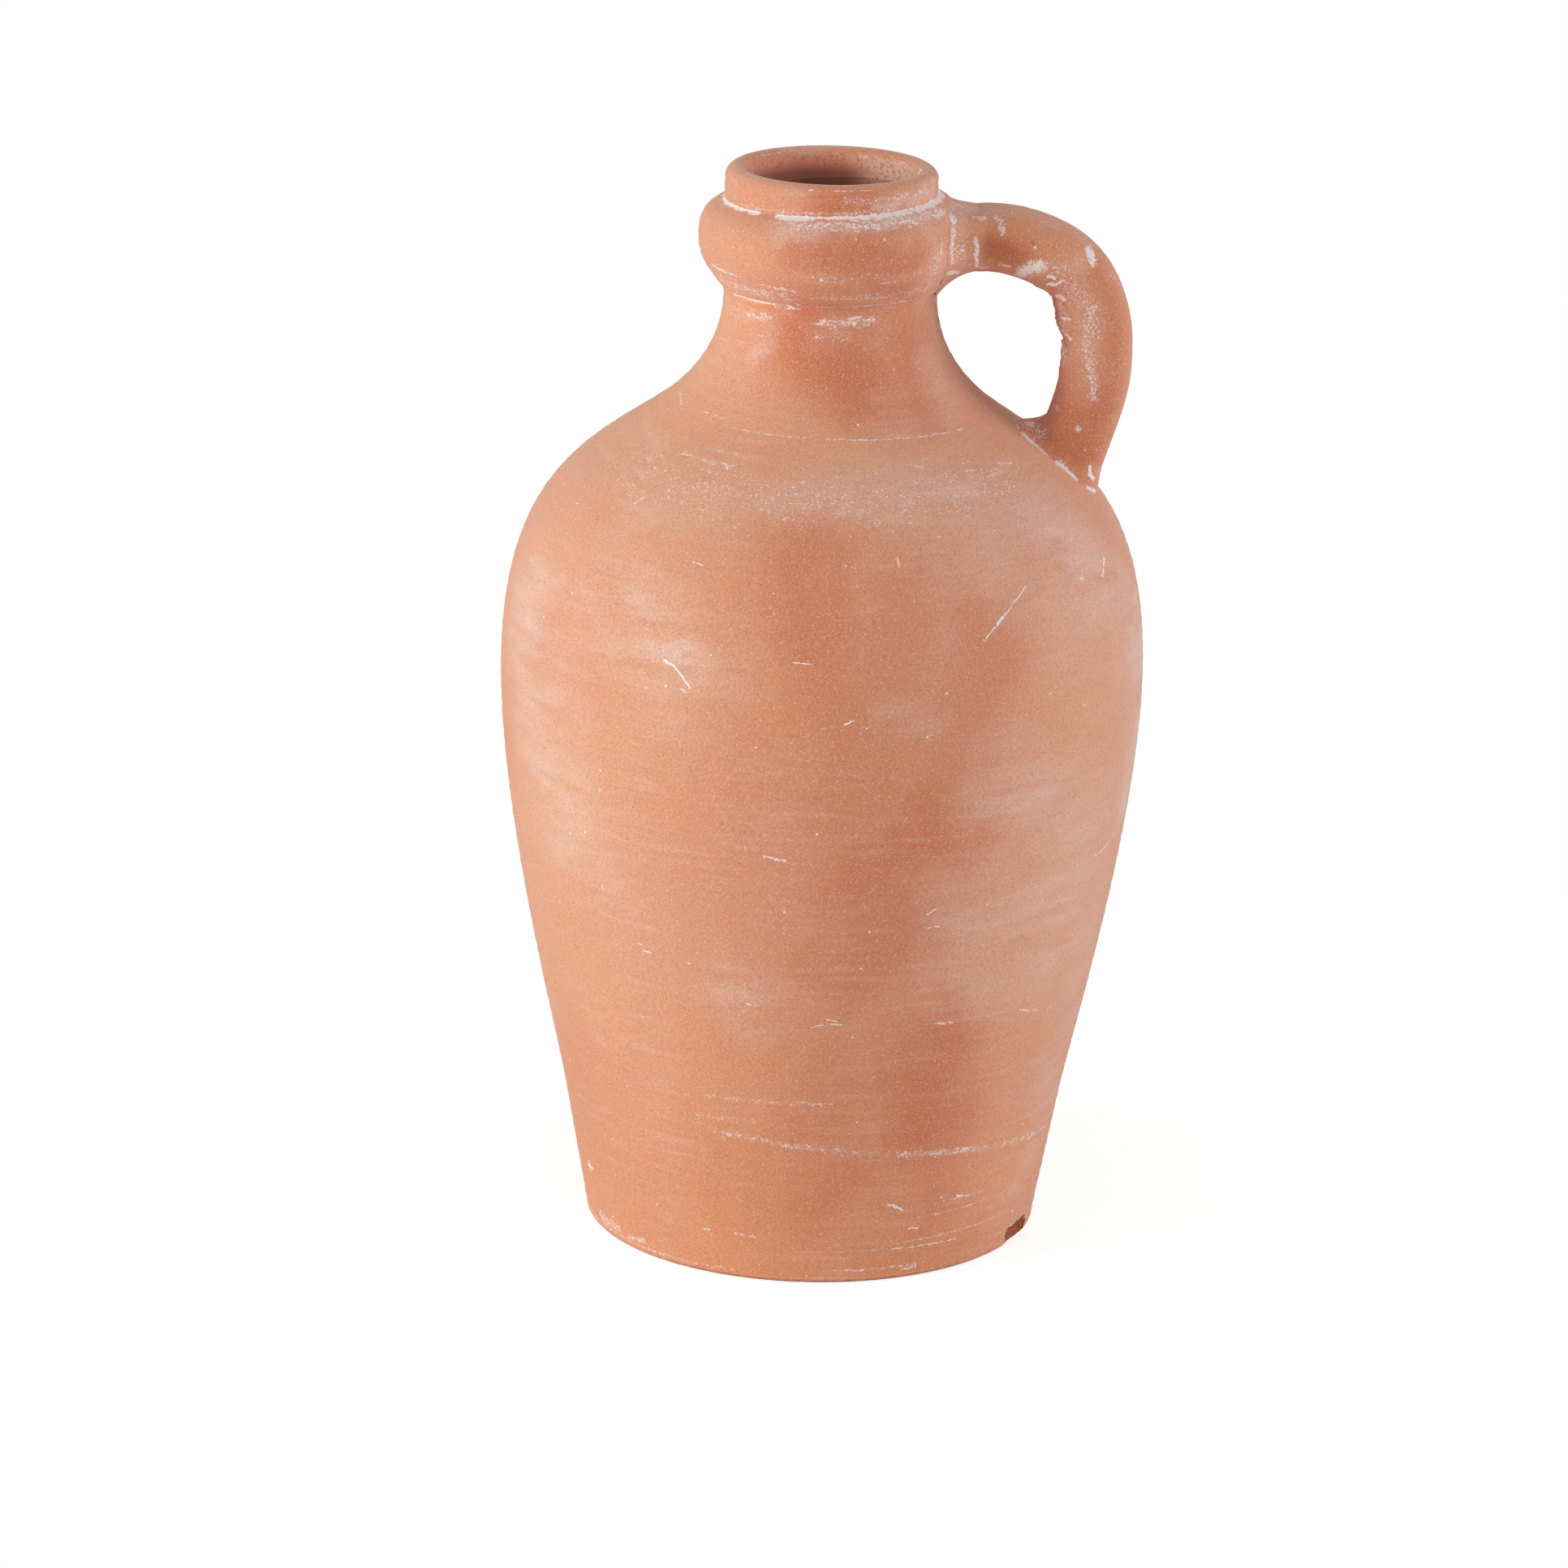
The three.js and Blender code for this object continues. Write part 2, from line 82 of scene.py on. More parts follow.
class Mark(Enum):
    """What a mark on the clay is."""

    SCRATCH = "a crisp, nearly solid line or dot of lime"
    SMEAR = "a patch of lime broken up into specks"
    BLOOM = "a soft dusting of lime that the clay shows through"
    # Deeper orange: the fire's colour, and on the handle also painted shade in the pressed hollow and down the
    # strap's right side.
    FLAME_AND_SHADE = "a patch that the fire turned a deeper orange"
    # Darker marks: painted shade along the underside's edge, in the pressed hollow under the handle's root and
    # in the crease at its foot, and one small dark dot on the strap.
    SHADE_AND_DARK_MARK = "a darker line or patch, where dirt or shade lies"


class Side(Enum):
    """Where a point of a section's outline lies."""

    OUTSIDE = 1.0
    RIM = 0.5
    HIDDEN = 0.0


def linear(colour: Colour) -> tuple[float, float, float, float]:
    """Turns a colour from 0 to 255, as a paint chart gives it, into the renderer's linear one.

    Args:
        colour: Red, green and blue.

    Returns:
        Linear red, green and blue from 0 to 1, and an alpha of 1.
    """
    shares = [c / 255 for c in colour]
    parts = [s / 12.92 if s <= 0.04045 else ((s + 0.055) / 1.055) ** 2.4 for s in shares]
    return (*parts, 1.0)


def eased(value: np.ndarray | float, low: float, high: float) -> np.ndarray | float:
    """Rises smoothly from 0 at a low value to 1 at a high one."""
    share = np.clip((value - low) / (high - low), 0.0, 1.0)
    return share * share * (3 - 2 * share)


@dataclass(frozen=True)
class Curve:
    """A cubic curve of the jug's outline, given by its ends and the two points that pull it.

    Places along it are given as shares, from 0 at the start to 1 at the end.
    """

    start: Point
    start_pull: Point
    end_pull: Point
    end: Point

    @property
    def drawn_by(self) -> tuple[np.ndarray, ...]:
        """The four points that draw the curve."""
        return tuple(np.array(p, float) for p in (self.start, self.start_pull, self.end_pull, self.end))

    def at(self, shares: np.ndarray) -> np.ndarray:
        """Gives the points at some shares."""
        t, (a, b, c, d) = shares[..., None], self.drawn_by
        return (1 - t) ** 3 * a + 3 * (1 - t) ** 2 * t * b + 3 * (1 - t) * t**2 * c + t**3 * d

    def way(self, shares: np.ndarray) -> np.ndarray:
        """Gives the unit directions of travel at some shares.

        Args:
            shares: Places along the curve.

        Returns:
            One row of two numbers for each share.
        """
        t, (a, b, c, d) = shares[..., None], self.drawn_by
        along = (1 - t) ** 2 * (b - a) + 2 * (1 - t) * t * (c - b) + t**2 * (d - c)
        return along / np.linalg.norm(along, axis=-1, keepdims=True)

    def run(self, steps: int, inward: float = 0.0) -> np.ndarray:
        """Gives evenly shared points along the curve, moved into the clay by a distance.

        Args:
            steps: How many steps the curve is cut into.
            inward: How far the points move to the left of travel, which is into the wall.

        Returns:
            One row of two numbers for each point.
        """
        shares = np.linspace(0, 1, steps + 1)
        along = self.way(shares)
        return self.at(shares) + inward * np.stack([-along[:, 1], along[:, 0]], axis=1)


def arc(centre: Point, radius: float, start: float, end: float, steps: int) -> np.ndarray:
    """Gives points on an arc between two compass angles in degrees."""
    angles = np.radians(np.linspace(start, end, steps + 1))
    return np.array(centre) + radius * np.stack([np.cos(angles), np.sin(angles)], axis=1)


def line(start: Sequence[float], end: Sequence[float], steps: int = 3) -> np.ndarray:
    """Gives evenly spaced points from one end to the other, both included."""
    shares = np.linspace(0, 1, steps + 1)[:, None]
    return np.array(start, float) * (1 - shares) + np.array(end, float) * shares


def ring_faces(here: int, there: int, count: int) -> Faces:
    """Gives the faces between two rings of points, from the index of each ring's first point."""
    after = [(step + 1) % count for step in range(count)]
    return [(here + s, here + a, there + a, there + s) for s, a in enumerate(after)]


@dataclass(frozen=True)
class JugSizes:
    """The driving sizes of the jug. Heights run from the ground up, and radii are of the outside."""

    height: float = cad_high.z * METRE
    belly_radius: float = cad_high.x * METRE
    foot_section_height: float = 50.0
    body_height: float = 245.6
    neck_height: float = 37.4
    collar_height: float = 33.9
    foot_radius: float = 79.4
    low_seam_radius: float = 88.0
    shoulder_seam_radius: float = 55.6
    neck_radius: float = 36.7
    collar_radius: float = 45.7
    lip_radius: float = 36.5
    mouth_radius: float = 28.8
    wall: float = 8.0
    foot_edge: float = 2.2
    belly_rise: float = 150.0
    collar_rise: float = 19.5

    @property
    def belly_level(self) -> float:
        """Height of the widest place."""
        return self.foot_section_height + self.belly_rise

    @property
    def shoulder_seam(self) -> float:
        """Height of the seam between the shoulder and the neck."""
        return self.foot_section_height + self.body_height

    @property
    def crease(self) -> float:
        """Height of the crease between the neck and the collar."""
        return self.shoulder_seam + self.neck_height

    def low_seam(self, inward: float) -> Point:
        """Gives the place of the low seam, or one further in."""
        return self.low_seam_radius - inward, self.foot_section_height

    @property
    def collar_level(self) -> float:
        """Height of the collar's widest place."""
        return self.crease + self.collar_rise

    @property
    def groove(self) -> float:
        """Mean height of the groove under the lip."""
        return self.crease + self.collar_height


@dataclass(frozen=True)
class TurnedLine:
    """A shallow line that a tool left while the jug turned, by its height, depth and half width."""

    height: float
    depth: float
    reach: float


@dataclass(frozen=True)
class Throwing:
    """The unevenness that the wheel and the hands left in the wall. It only ever takes clay away."""

    ridge_depth: float = 0.07
    ridge_spacing: float = 4.3
    swell_depth: float = 0.35
    swell_height: float = 85.0
    lines: tuple[TurnedLine, ...] = (
        TurnedLine(4.6, 0.16, 0.7),
        TurnedLine(12.1, 0.22, 0.6),
        TurnedLine(335.7, 0.8, 0.7),
        TurnedLine(341.4, 0.34, 0.8),
    )

    def taken(self, azimuth: np.ndarray, height: np.ndarray) -> np.ndarray:
        """Gives how much the wall's radius falls short of the plain curve.

        Args:
            azimuth: Azimuths in radians.
            height: Heights in millimetres.

        Returns:
            Depths in millimetres, none of them negative.
        """
        climb = height + self.ridge_spacing * azimuth / (2 * math.pi)
        drift = 1.4 * np.sin(height / 19 + 0.6) + 0.7 * np.sin(azimuth + height / 41)
        ridges = np.sin(2 * math.pi * climb / self.ridge_spacing + drift)
        fine = np.sin(2 * math.pi * 3 * climb / self.ridge_spacing + 2 * drift)
        total = self.ridge_depth * (1.5 - ridges - 0.5 * fine)
        oval = 0.5 + 0.5 * np.cos(2 * azimuth) * np.cos(height / self.swell_height)
        total = total + self.swell_depth * oval * np.cos(azimuth) ** 2
        for turned in self.lines:
            total = total + turned.depth * np.exp(-(((height - turned.height) / turned.reach) ** 2))
        return total


@dataclass(frozen=True)
class Fullness:
    """How full the outline's curves are: how far each pull reaches, as a share of its curve's rise.

    A slope says how far a pull leans out for each millimetre that it rises.
    """

    belly_start: float = 0.13
    belly_slope: float = 0.19
    belly_end: float = 0.35
    shoulder_start: float = 0.72
    shoulder_end: float = 0.21
    shoulder_slope: float = 1.27
    neck_start: float = 0.12
    neck_slope: float = 1.1
    neck_end: float = 0.56
    flare_start: float = 0.22
    flare_end: float = 0.57
    collar_start: float = 0.88
    collar_end: Point = (2.0, 1.4)


@dataclass
class Wall:
    """The outside of the jug: its curves, its unevenness and the places on it."""

    sizes: JugSizes
    throwing: Throwing
    fullness: Fullness
    lip_shift: float = -0.45
    groove_sway: float = 1.45
    table_steps: int = 240

    @cached_property
    def foot_line(self) -> Curve:
        """The foot section's side, nearly straight.

        Returns:
            The curve, from its low end up.
        """
        s = self.sizes
        start, end = (s.foot_radius, s.foot_edge), (s.low_seam_radius, s.foot_section_height)
        third = ((end[0] - start[0]) / 3, (end[1] - start[1]) / 3)
        return Curve(start, (start[0] + third[0], start[1] + third[1]),
                     (end[0] - third[0], end[1] - third[1]), end)

    @cached_property
    def belly(self) -> Curve:
        """The wall from the low seam up to the widest place.

        Returns:
            The curve, from its low end up.
        """
        s, f = self.sizes, self.fullness
        pull = s.belly_rise * f.belly_start
        return Curve((s.low_seam_radius, s.foot_section_height),
                     (s.low_seam_radius + pull * f.belly_slope, s.foot_section_height + pull),
                     (s.belly_radius, s.belly_level - s.belly_rise * f.belly_end),
                     (s.belly_radius, s.belly_level))

    @cached_property
    def shoulder(self) -> Curve:
        """The wall from the widest place up to the shoulder seam.

        Returns:
            The curve, from its low end up.
        """
        s, f = self.sizes, self.fullness
        rise = s.shoulder_seam - s.belly_level
        pull = rise * f.shoulder_end
        return Curve((s.belly_radius, s.belly_level),
                     (s.belly_radius, s.belly_level + rise * f.shoulder_start),
                     (s.shoulder_seam_radius + pull * f.shoulder_slope, s.shoulder_seam - pull),
                     (s.shoulder_seam_radius, s.shoulder_seam))

    @cached_property
    def neck(self) -> Curve:
        """The waisted neck, up to the crease.

        Returns:
            The curve, from its low end up.
        """
        s, f = self.sizes, self.fullness
        pull = s.neck_height * f.neck_start
        return Curve((s.shoulder_seam_radius, s.shoulder_seam),
                     (s.shoulder_seam_radius - pull * f.neck_slope, s.shoulder_seam + pull),
                     (s.neck_radius, s.crease - s.neck_height * f.neck_end),
                     (s.neck_radius, s.crease))

    @cached_property
    def collar_flare(self) -> Curve:
        """The collar's lower half.

        Returns:
            The curve, from its low end up.
        """
        s, f = self.sizes, self.fullness
        return Curve((s.neck_radius, s.crease),
                     (s.neck_radius, s.crease + s.collar_rise * f.flare_start),
                     (s.collar_radius, s.collar_level - s.collar_rise * f.flare_end),
                     (s.collar_radius, s.collar_level))

    @cached_property
    def collar_shoulder(self) -> Curve:
        """The collar's upper half, in to the groove.

        Returns:
            The curve, from its low end up.
        """
        s, f = self.sizes, self.fullness
        return Curve((s.collar_radius, s.collar_level),
                     (s.collar_radius, s.collar_level + (s.groove - s.collar_level) * f.collar_start),
                     (s.lip_radius + f.collar_end[0], s.groove - f.collar_end[1]),
                     (s.lip_radius, s.groove))

    @cached_property
    def table(self) -> np.ndarray:
        """The plain outside of the whole jug.

        Returns:
            Rows of radius and height, running up.
        """
        s = self.sizes
        low = (self.foot_line, self.belly, self.shoulder)
        high = (self.neck, self.collar_flare, self.collar_shoulder)
        rows = [curve.run(self.table_steps) for curve in (*low, *high)]
        band = line((s.lip_radius, s.groove), (s.lip_radius, s.height))
        return np.concatenate([[(s.foot_radius, 0.0)], *rows, band])

    def radius(self, height: np.ndarray | float) -> np.ndarray | float:
        """Gives the plain radius of the outside at a height."""
        return np.interp(height, self.table[:, 1], self.table[:, 0])

    def sway(self, azimuth: np.ndarray, height: np.ndarray) -> np.ndarray:
        """Gives how far the groove's slant lifts a point, which fades towards the collar and the rim.

        Args:
            azimuth: Azimuths in radians.
            height: Heights in millimetres.

        Returns:
            Lifts in millimetres.
        """
        s = self.sizes
        near = eased(height, s.collar_level, s.groove) * (1 - eased(height, s.groove, s.height))
        return self.groove_sway * np.sin(azimuth) * near

    def shaped(self, radius: np.ndarray, azimuth: np.ndarray, height: np.ndarray,
               side: np.ndarray) -> np.ndarray:
        """Places points of a turned section, with the unevenness on its outside.

        Args:
            radius: Radii from the axis.
            azimuth: Azimuths in radians.
            height: Heights above the ground.
            side: 1 for points on the turned outside, and less for the others.

        Returns:
            Rows of x, y and z in millimetres.
        """
        real = radius - (side == Side.OUTSIDE.value) * self.throwing.taken(azimuth, height)
        lean = self.lip_shift * eased(height, self.sizes.collar_level, self.sizes.groove)
        lifted = height + self.sway(azimuth, height)
        return np.stack([real * np.sin(azimuth) + lean, -real * np.cos(azimuth), lifted], axis=-1)

    def place(self, azimuth: float, height: float) -> Vector:
        """Gives the point of the outside at an azimuth in degrees and a height.

        Args:
            azimuth: Azimuth in degrees.
            height: Height in millimetres.

        Returns:
            The point, in millimetres.
        """
        turn = np.array(math.radians(azimuth))
        level = np.array(float(height))
        return Vector(self.shaped(np.array(self.radius(height)), turn, level, np.array(1.0)))


@dataclass(frozen=True)
class Stroke:
    """A mark along a chain of places, fading out over its reach. A chain of one place is a dot."""

    places: tuple[Point, ...]
    reach: float
    kind: Mark
    strength: float

    def within(self, low: float, high: float) -> bool:
        """Tells whether any of the stroke lies between two heights."""
        levels = [height for _, height in self.places]
        return min(levels) - self.reach < high and max(levels) + self.reach > low


def scratch(reach: float, strength: float, *places: Point) -> Stroke:
    """Gives a crisp line or dot of lime."""
    return Stroke(places, reach, Mark.SCRATCH, strength)


def smear(reach: float, strength: float, *places: Point) -> Stroke:
    """Gives lime that is broken up into specks."""
    return Stroke(places, reach, Mark.SMEAR, strength)


def bloom(reach: float, strength: float, *places: Point) -> Stroke:
    """Gives a soft dusting of lime."""
    return Stroke(places, reach, Mark.BLOOM, strength)


def flame_and_shade(reach: float, strength: float, *places: Point) -> Stroke:
    """Gives a patch of deeper orange."""
    return Stroke(places, reach, Mark.FLAME_AND_SHADE, strength)


def shade_and_dark_mark(reach: float, strength: float, *places: Point) -> Stroke:
    """Gives a darker patch."""
    return Stroke(places, reach, Mark.SHADE_AND_DARK_MARK, strength)


@dataclass(frozen=True)
class RingLine:
    """Marks along a line round the jug. Its height rises with azimuth by a slope, or sways with its sine.

    The line fades in and out over a number of degrees at its start and end. An inside line lies in the mouth.
    """

    height: float
    reach: float
    start: float = -180.0
    end: float = 180.0
    slope: float = 0.0
    sway: float = 0.0
    kind: Mark = Mark.SMEAR
    strength: float = 1.0
    fade: float = 8.0
    inside: bool = False

    def within(self, low: float, high: float) -> bool:
        """Tells whether any of the line lies between two heights.

        Args:
            low: The lower height.
            high: The upper one.

        Returns:
            True where some of it does.
        """
        levels = [self.height + self.slope * azimuth for azimuth in (self.start, self.end)]
        off = self.reach + abs(self.sway)
        return min(levels) - off < high and max(levels) + off > low


# Lime along the low ring line, which slants a little and lies partly on the foot and partly on the body.
LOW_RING = (
    RingLine(53.2, 3, -28, 20, slope=-0.176, strength=0.92, fade=14),
    RingLine(53.2, 3, 16, 48, slope=-0.176, strength=1.04, fade=7),
    RingLine(53.2, 3, 44, 78, slope=-0.176, strength=0.96, fade=8),
)

# Broad marks of lime and fire, given by reach, strength and places. They run on across the joints, so each
# thrown section takes those at its height.
CLOUDS = (
    bloom(22, 1.19, (-34.4, 243.3), (-25.9, 224.4)), bloom(38, 0.56, (-43.1, 243), (-24.2, 222.1)),
    bloom(40, 1, (-66, 228), (-59.5, 206.2), (-52.5, 165.9)), bloom(30, 1.02, (53.8, 267.4), (64.1, 248.9)),
    bloom(44, 0.55, (45.2, 266.1), (62.7, 228.1)), bloom(13, 0.42, (13, 211.2), (17.2, 211.7)),
    bloom(29, 1.1, (74, 228), (86, 198), (76, 168)), bloom(26, 0.62, (60, 138), (70, 108), (70, 60)),
    bloom(30, 0.74, (34.7, 187.8), (57.4, 159.5)),
    bloom(26, 0.72, (25.7, 138.8), (42.3, 136.1), (56.6, 140.4)),
    bloom(22, 0.56, (32.5, 115), (53.1, 110.1)), bloom(24, 0.68, (-16.3, 118), (-12.4, 107)),
    bloom(18, 0.48, (-46.1, 270.3), (-29.9, 274)), bloom(16, 0.44, (-13.7, 280.4), (8.9, 282.2)),
    bloom(20, 0.6, (17.7, 282.9), (38.7, 281.9)), bloom(7, 0.9, (-72, 289), (-58, 287)),
    bloom(7, 1, (76, 12), (82, 6)), bloom(18, 0.4, (66, 34), (58, 22)),
    bloom(9, 0.7, (-40, 318), (-30, 326)), bloom(8, 0.4, (0, 326), (18, 326)),
    bloom(8, 0.6, (62, 330), (74, 318)), bloom(16, 0.48, (52, 312), (60, 302)),
    bloom(8, 0.9, (50, 360), (60, 346)), bloom(6, 0.7, (-30, 340), (-20, 337)),
    bloom(6.5, 1, (-26, 363.6), (8, 363.8), (36, 364), (64, 364.6)),
    flame_and_shade(36, 0.8, (-2.6, 262), (-2.9, 251.6), (-1.9, 237.6)),
    flame_and_shade(31, 0.37, (-13.4, 258), (-13.3, 229.8)), flame_and_shade(33, 0.48, (13.1, 251.6), (11.1, 225.8)),
    flame_and_shade(34, 0.6, (31, 232.6), (27, 217)), flame_and_shade(32, 0.59, (26.6, 204.4), (22.5, 187.9)),
    flame_and_shade(40, 0.6, (0, 222), (8, 205), (4, 180.8)),
    flame_and_shade(34, 0.92, (20.5, 171.3), (13.6, 162.8), (6.5, 151.3)),
    flame_and_shade(39, 0.75, (12.7, 141.9), (5.6, 120.9)), flame_and_shade(34, 1, (27.4, 93), (24.8, 74.7), (28.2, 56.6)),
    flame_and_shade(42, 0.59, (6.8, 77), (0.1, 61.2)), flame_and_shade(59, 0.38, (-8.5, 211.6), (-9.7, 153.2), (-5.2, 92.3)),
    flame_and_shade(38, 0.63, (9.6, 43.6), (0.5, 34.2)), flame_and_shade(30, 0.7, (25.8, 47.6), (30.1, 29.2)),
    flame_and_shade(50, 0.37, (-18.4, 42.8), (-7, 30.5)), flame_and_shade(21, 0.44, (30, 14), (40, 10)),
    flame_and_shade(29, 1, (-9, 329), (0, 318), (14, 308)), flame_and_shade(22, 0.8, (36, 327), (44, 304)),
    flame_and_shade(9, 0.85, (18, 344), (34, 341)), flame_and_shade(14, 0.85, (-14, 357), (2, 353), (35, 353)),
    flame_and_shade(13, 0.72, (-12, 371), (22, 372)),
)


class Graph:
    """A short way to write the nodes of a material or of the world.

    A value is a number, a tuple or another node's socket.
    """

    def __init__(self, owner: bpy.types.Material | bpy.types.World) -> None:
        """Takes what the nodes belong to, and empties its tree.

        Args:
            owner: The material or world.
        """
        owner.use_nodes = True
        self.tree = owner.node_tree
        self.tree.nodes.clear()

    @cached_property
    def place(self) -> Socket:
        """The point of the surface, in millimetres."""
        return self.vector("SCALE", self.node("ShaderNodeTexCoord").outputs["Object"], METRE)

    @cached_property
    def parts(self) -> tuple[Socket, ...]:
        """The point's x, y and z."""
        return self.split(self.place)

    def node(self, kind: str, inputs: Inputs | None = None, **settings: object) -> bpy.types.Node:
        """Adds a node.

        Args:
            kind: Blender's name of the kind.
            inputs: Values for its inputs, by name or by number.
            **settings: The node's own settings.

        Returns:
            The node.
        """
        made = self.tree.nodes.new(kind)
        for name, setting in settings.items():
            setattr(made, name, setting)
        for key, value in (inputs or {}).items():
            if isinstance(value, Socket):
                self.tree.links.new(value, made.inputs[key])
            else:
                made.inputs[key].default_value = value
        return made

    def output(self, kind: str, inputs: Inputs, target: str = "ShaderNodeOutputMaterial") -> None:
        """Makes a shader of a kind and shows it."""
        self.node(target, {"Surface": self.node(kind, inputs).outputs[0]})

    def math(self, operation: str, *values: Value, clamp: bool = False) -> Socket:
        """Adds a Math node and gives its result."""
        made = self.node("ShaderNodeMath", dict(enumerate(values)), operation=operation, use_clamp=clamp)
        return made.outputs[0]

    def times(self, first: Value, second: Value) -> Socket:
        """Multiplies two numbers."""
        return self.math("MULTIPLY", first, second)

    def greater(self, first: Value, second: Value) -> Socket:
        """Gives the greater of two numbers."""
        return self.math("MAXIMUM", first, second)

    def scaled(self, value: Value, factor: float, added: Value) -> Socket:
        """Gives a value times a factor, plus another value."""
        return self.math("MULTIPLY_ADD", value, factor, added)

    def vector(self, operation: str, *values: Value) -> Socket:
        """Adds a Vector Math node and gives its result, a number where the operation gives one.

        Args:
            operation: Blender's name of the operation.
            *values: What it works on.

        Returns:
            The result.
        """
        slots = (0, 3) if operation == "SCALE" else (0, 1)
        made = self.node("ShaderNodeVectorMath", dict(zip(slots, values)), operation=operation)
        return made.outputs[1 if operation in ("DOT_PRODUCT", "DISTANCE", "LENGTH") else 0]

    def split(self, place: Socket) -> tuple[Socket, ...]:
        """Gives a place's x, y and z."""
        return tuple(self.node("ShaderNodeSeparateXYZ", {0: place}).outputs)

    def ramp(self, value: Value, low: float, high: float, start: float = 0.0, end: float = 1.0) -> Socket:
        """Eases a value from start at low to end at high."""
        inputs = dict(enumerate((value, low, high, start, end)))
        return self.node("ShaderNodeMapRange", inputs, interpolation_type="SMOOTHSTEP").outputs[0]

    def noise(self, scale: float | Triple, detail: float, roughness: float,
              shift: Triple | None = None) -> Socket:
        """Gives the value of a noise on the surface.

        Args:
            scale: Lumps for each millimetre, all round or along x, y and z.
            detail: How many finer sizes of lump there are.
            roughness: How strong the finer lumps are.
            shift: How far the noise is moved, so that it differs from another one.

        Returns:
            The value, from 0 to 1.
        """
        place = self.vector("ADD", self.place, shift) if shift else self.place
        if isinstance(scale, tuple):
            place, scale = self.vector("MULTIPLY", place, scale), 1.0
        inputs = {"Vector": place, "Scale": scale, "Detail": detail, "Roughness": roughness}
        return self.node("ShaderNodeTexNoise", inputs, noise_dimensions="3D").outputs[0]

    def mix(self, share: Value, first: Socket | Colour, second: Socket | Colour) -> Socket:
        """Mixes two colours and gives the result.

        Args:
            share: How much of the second colour shows.
            first: The first colour.
            second: The second colour.

        Returns:
            The mixed colour.
        """
        first, second = (linear(c) if isinstance(c, tuple) else c for c in (first, second))
        return self.node("ShaderNodeMix", {0: share, 6: first, 7: second}, data_type="RGBA").outputs[2]

    def attribute(self, name: str) -> Socket:
        """Gives the value that a mesh holds for each of its points under a name."""
        return self.node("ShaderNodeAttribute", attribute_name=name).outputs["Fac"]

    def bump(self, height: Value, strength: float = 1.0) -> Socket:
        """Gives the normal of a surface whose height is in millimetres."""
        inputs = {"Strength": strength, "Distance": 1 / METRE, "Height": height}
        return self.node("ShaderNodeBump", inputs).outputs[0]


@dataclass(frozen=True)
class Marking:
    """What lies on the clay of one piece.

    The joint reach is the half width of the lime along the handle's joints, and fired is how far the whole
    piece has turned to the deeper orange. Strokes are placed by azimuth and height. Flat ones are the
    handle's: they are placed by x and z, and lie on the side that faces the camera.
    """

    wall: Wall
    strokes: tuple[Stroke, ...] = ()
    rings: tuple[RingLine, ...] = ()
    joint_reach: float = 0.0
    fired: float = 0.0
    flat: bool = False


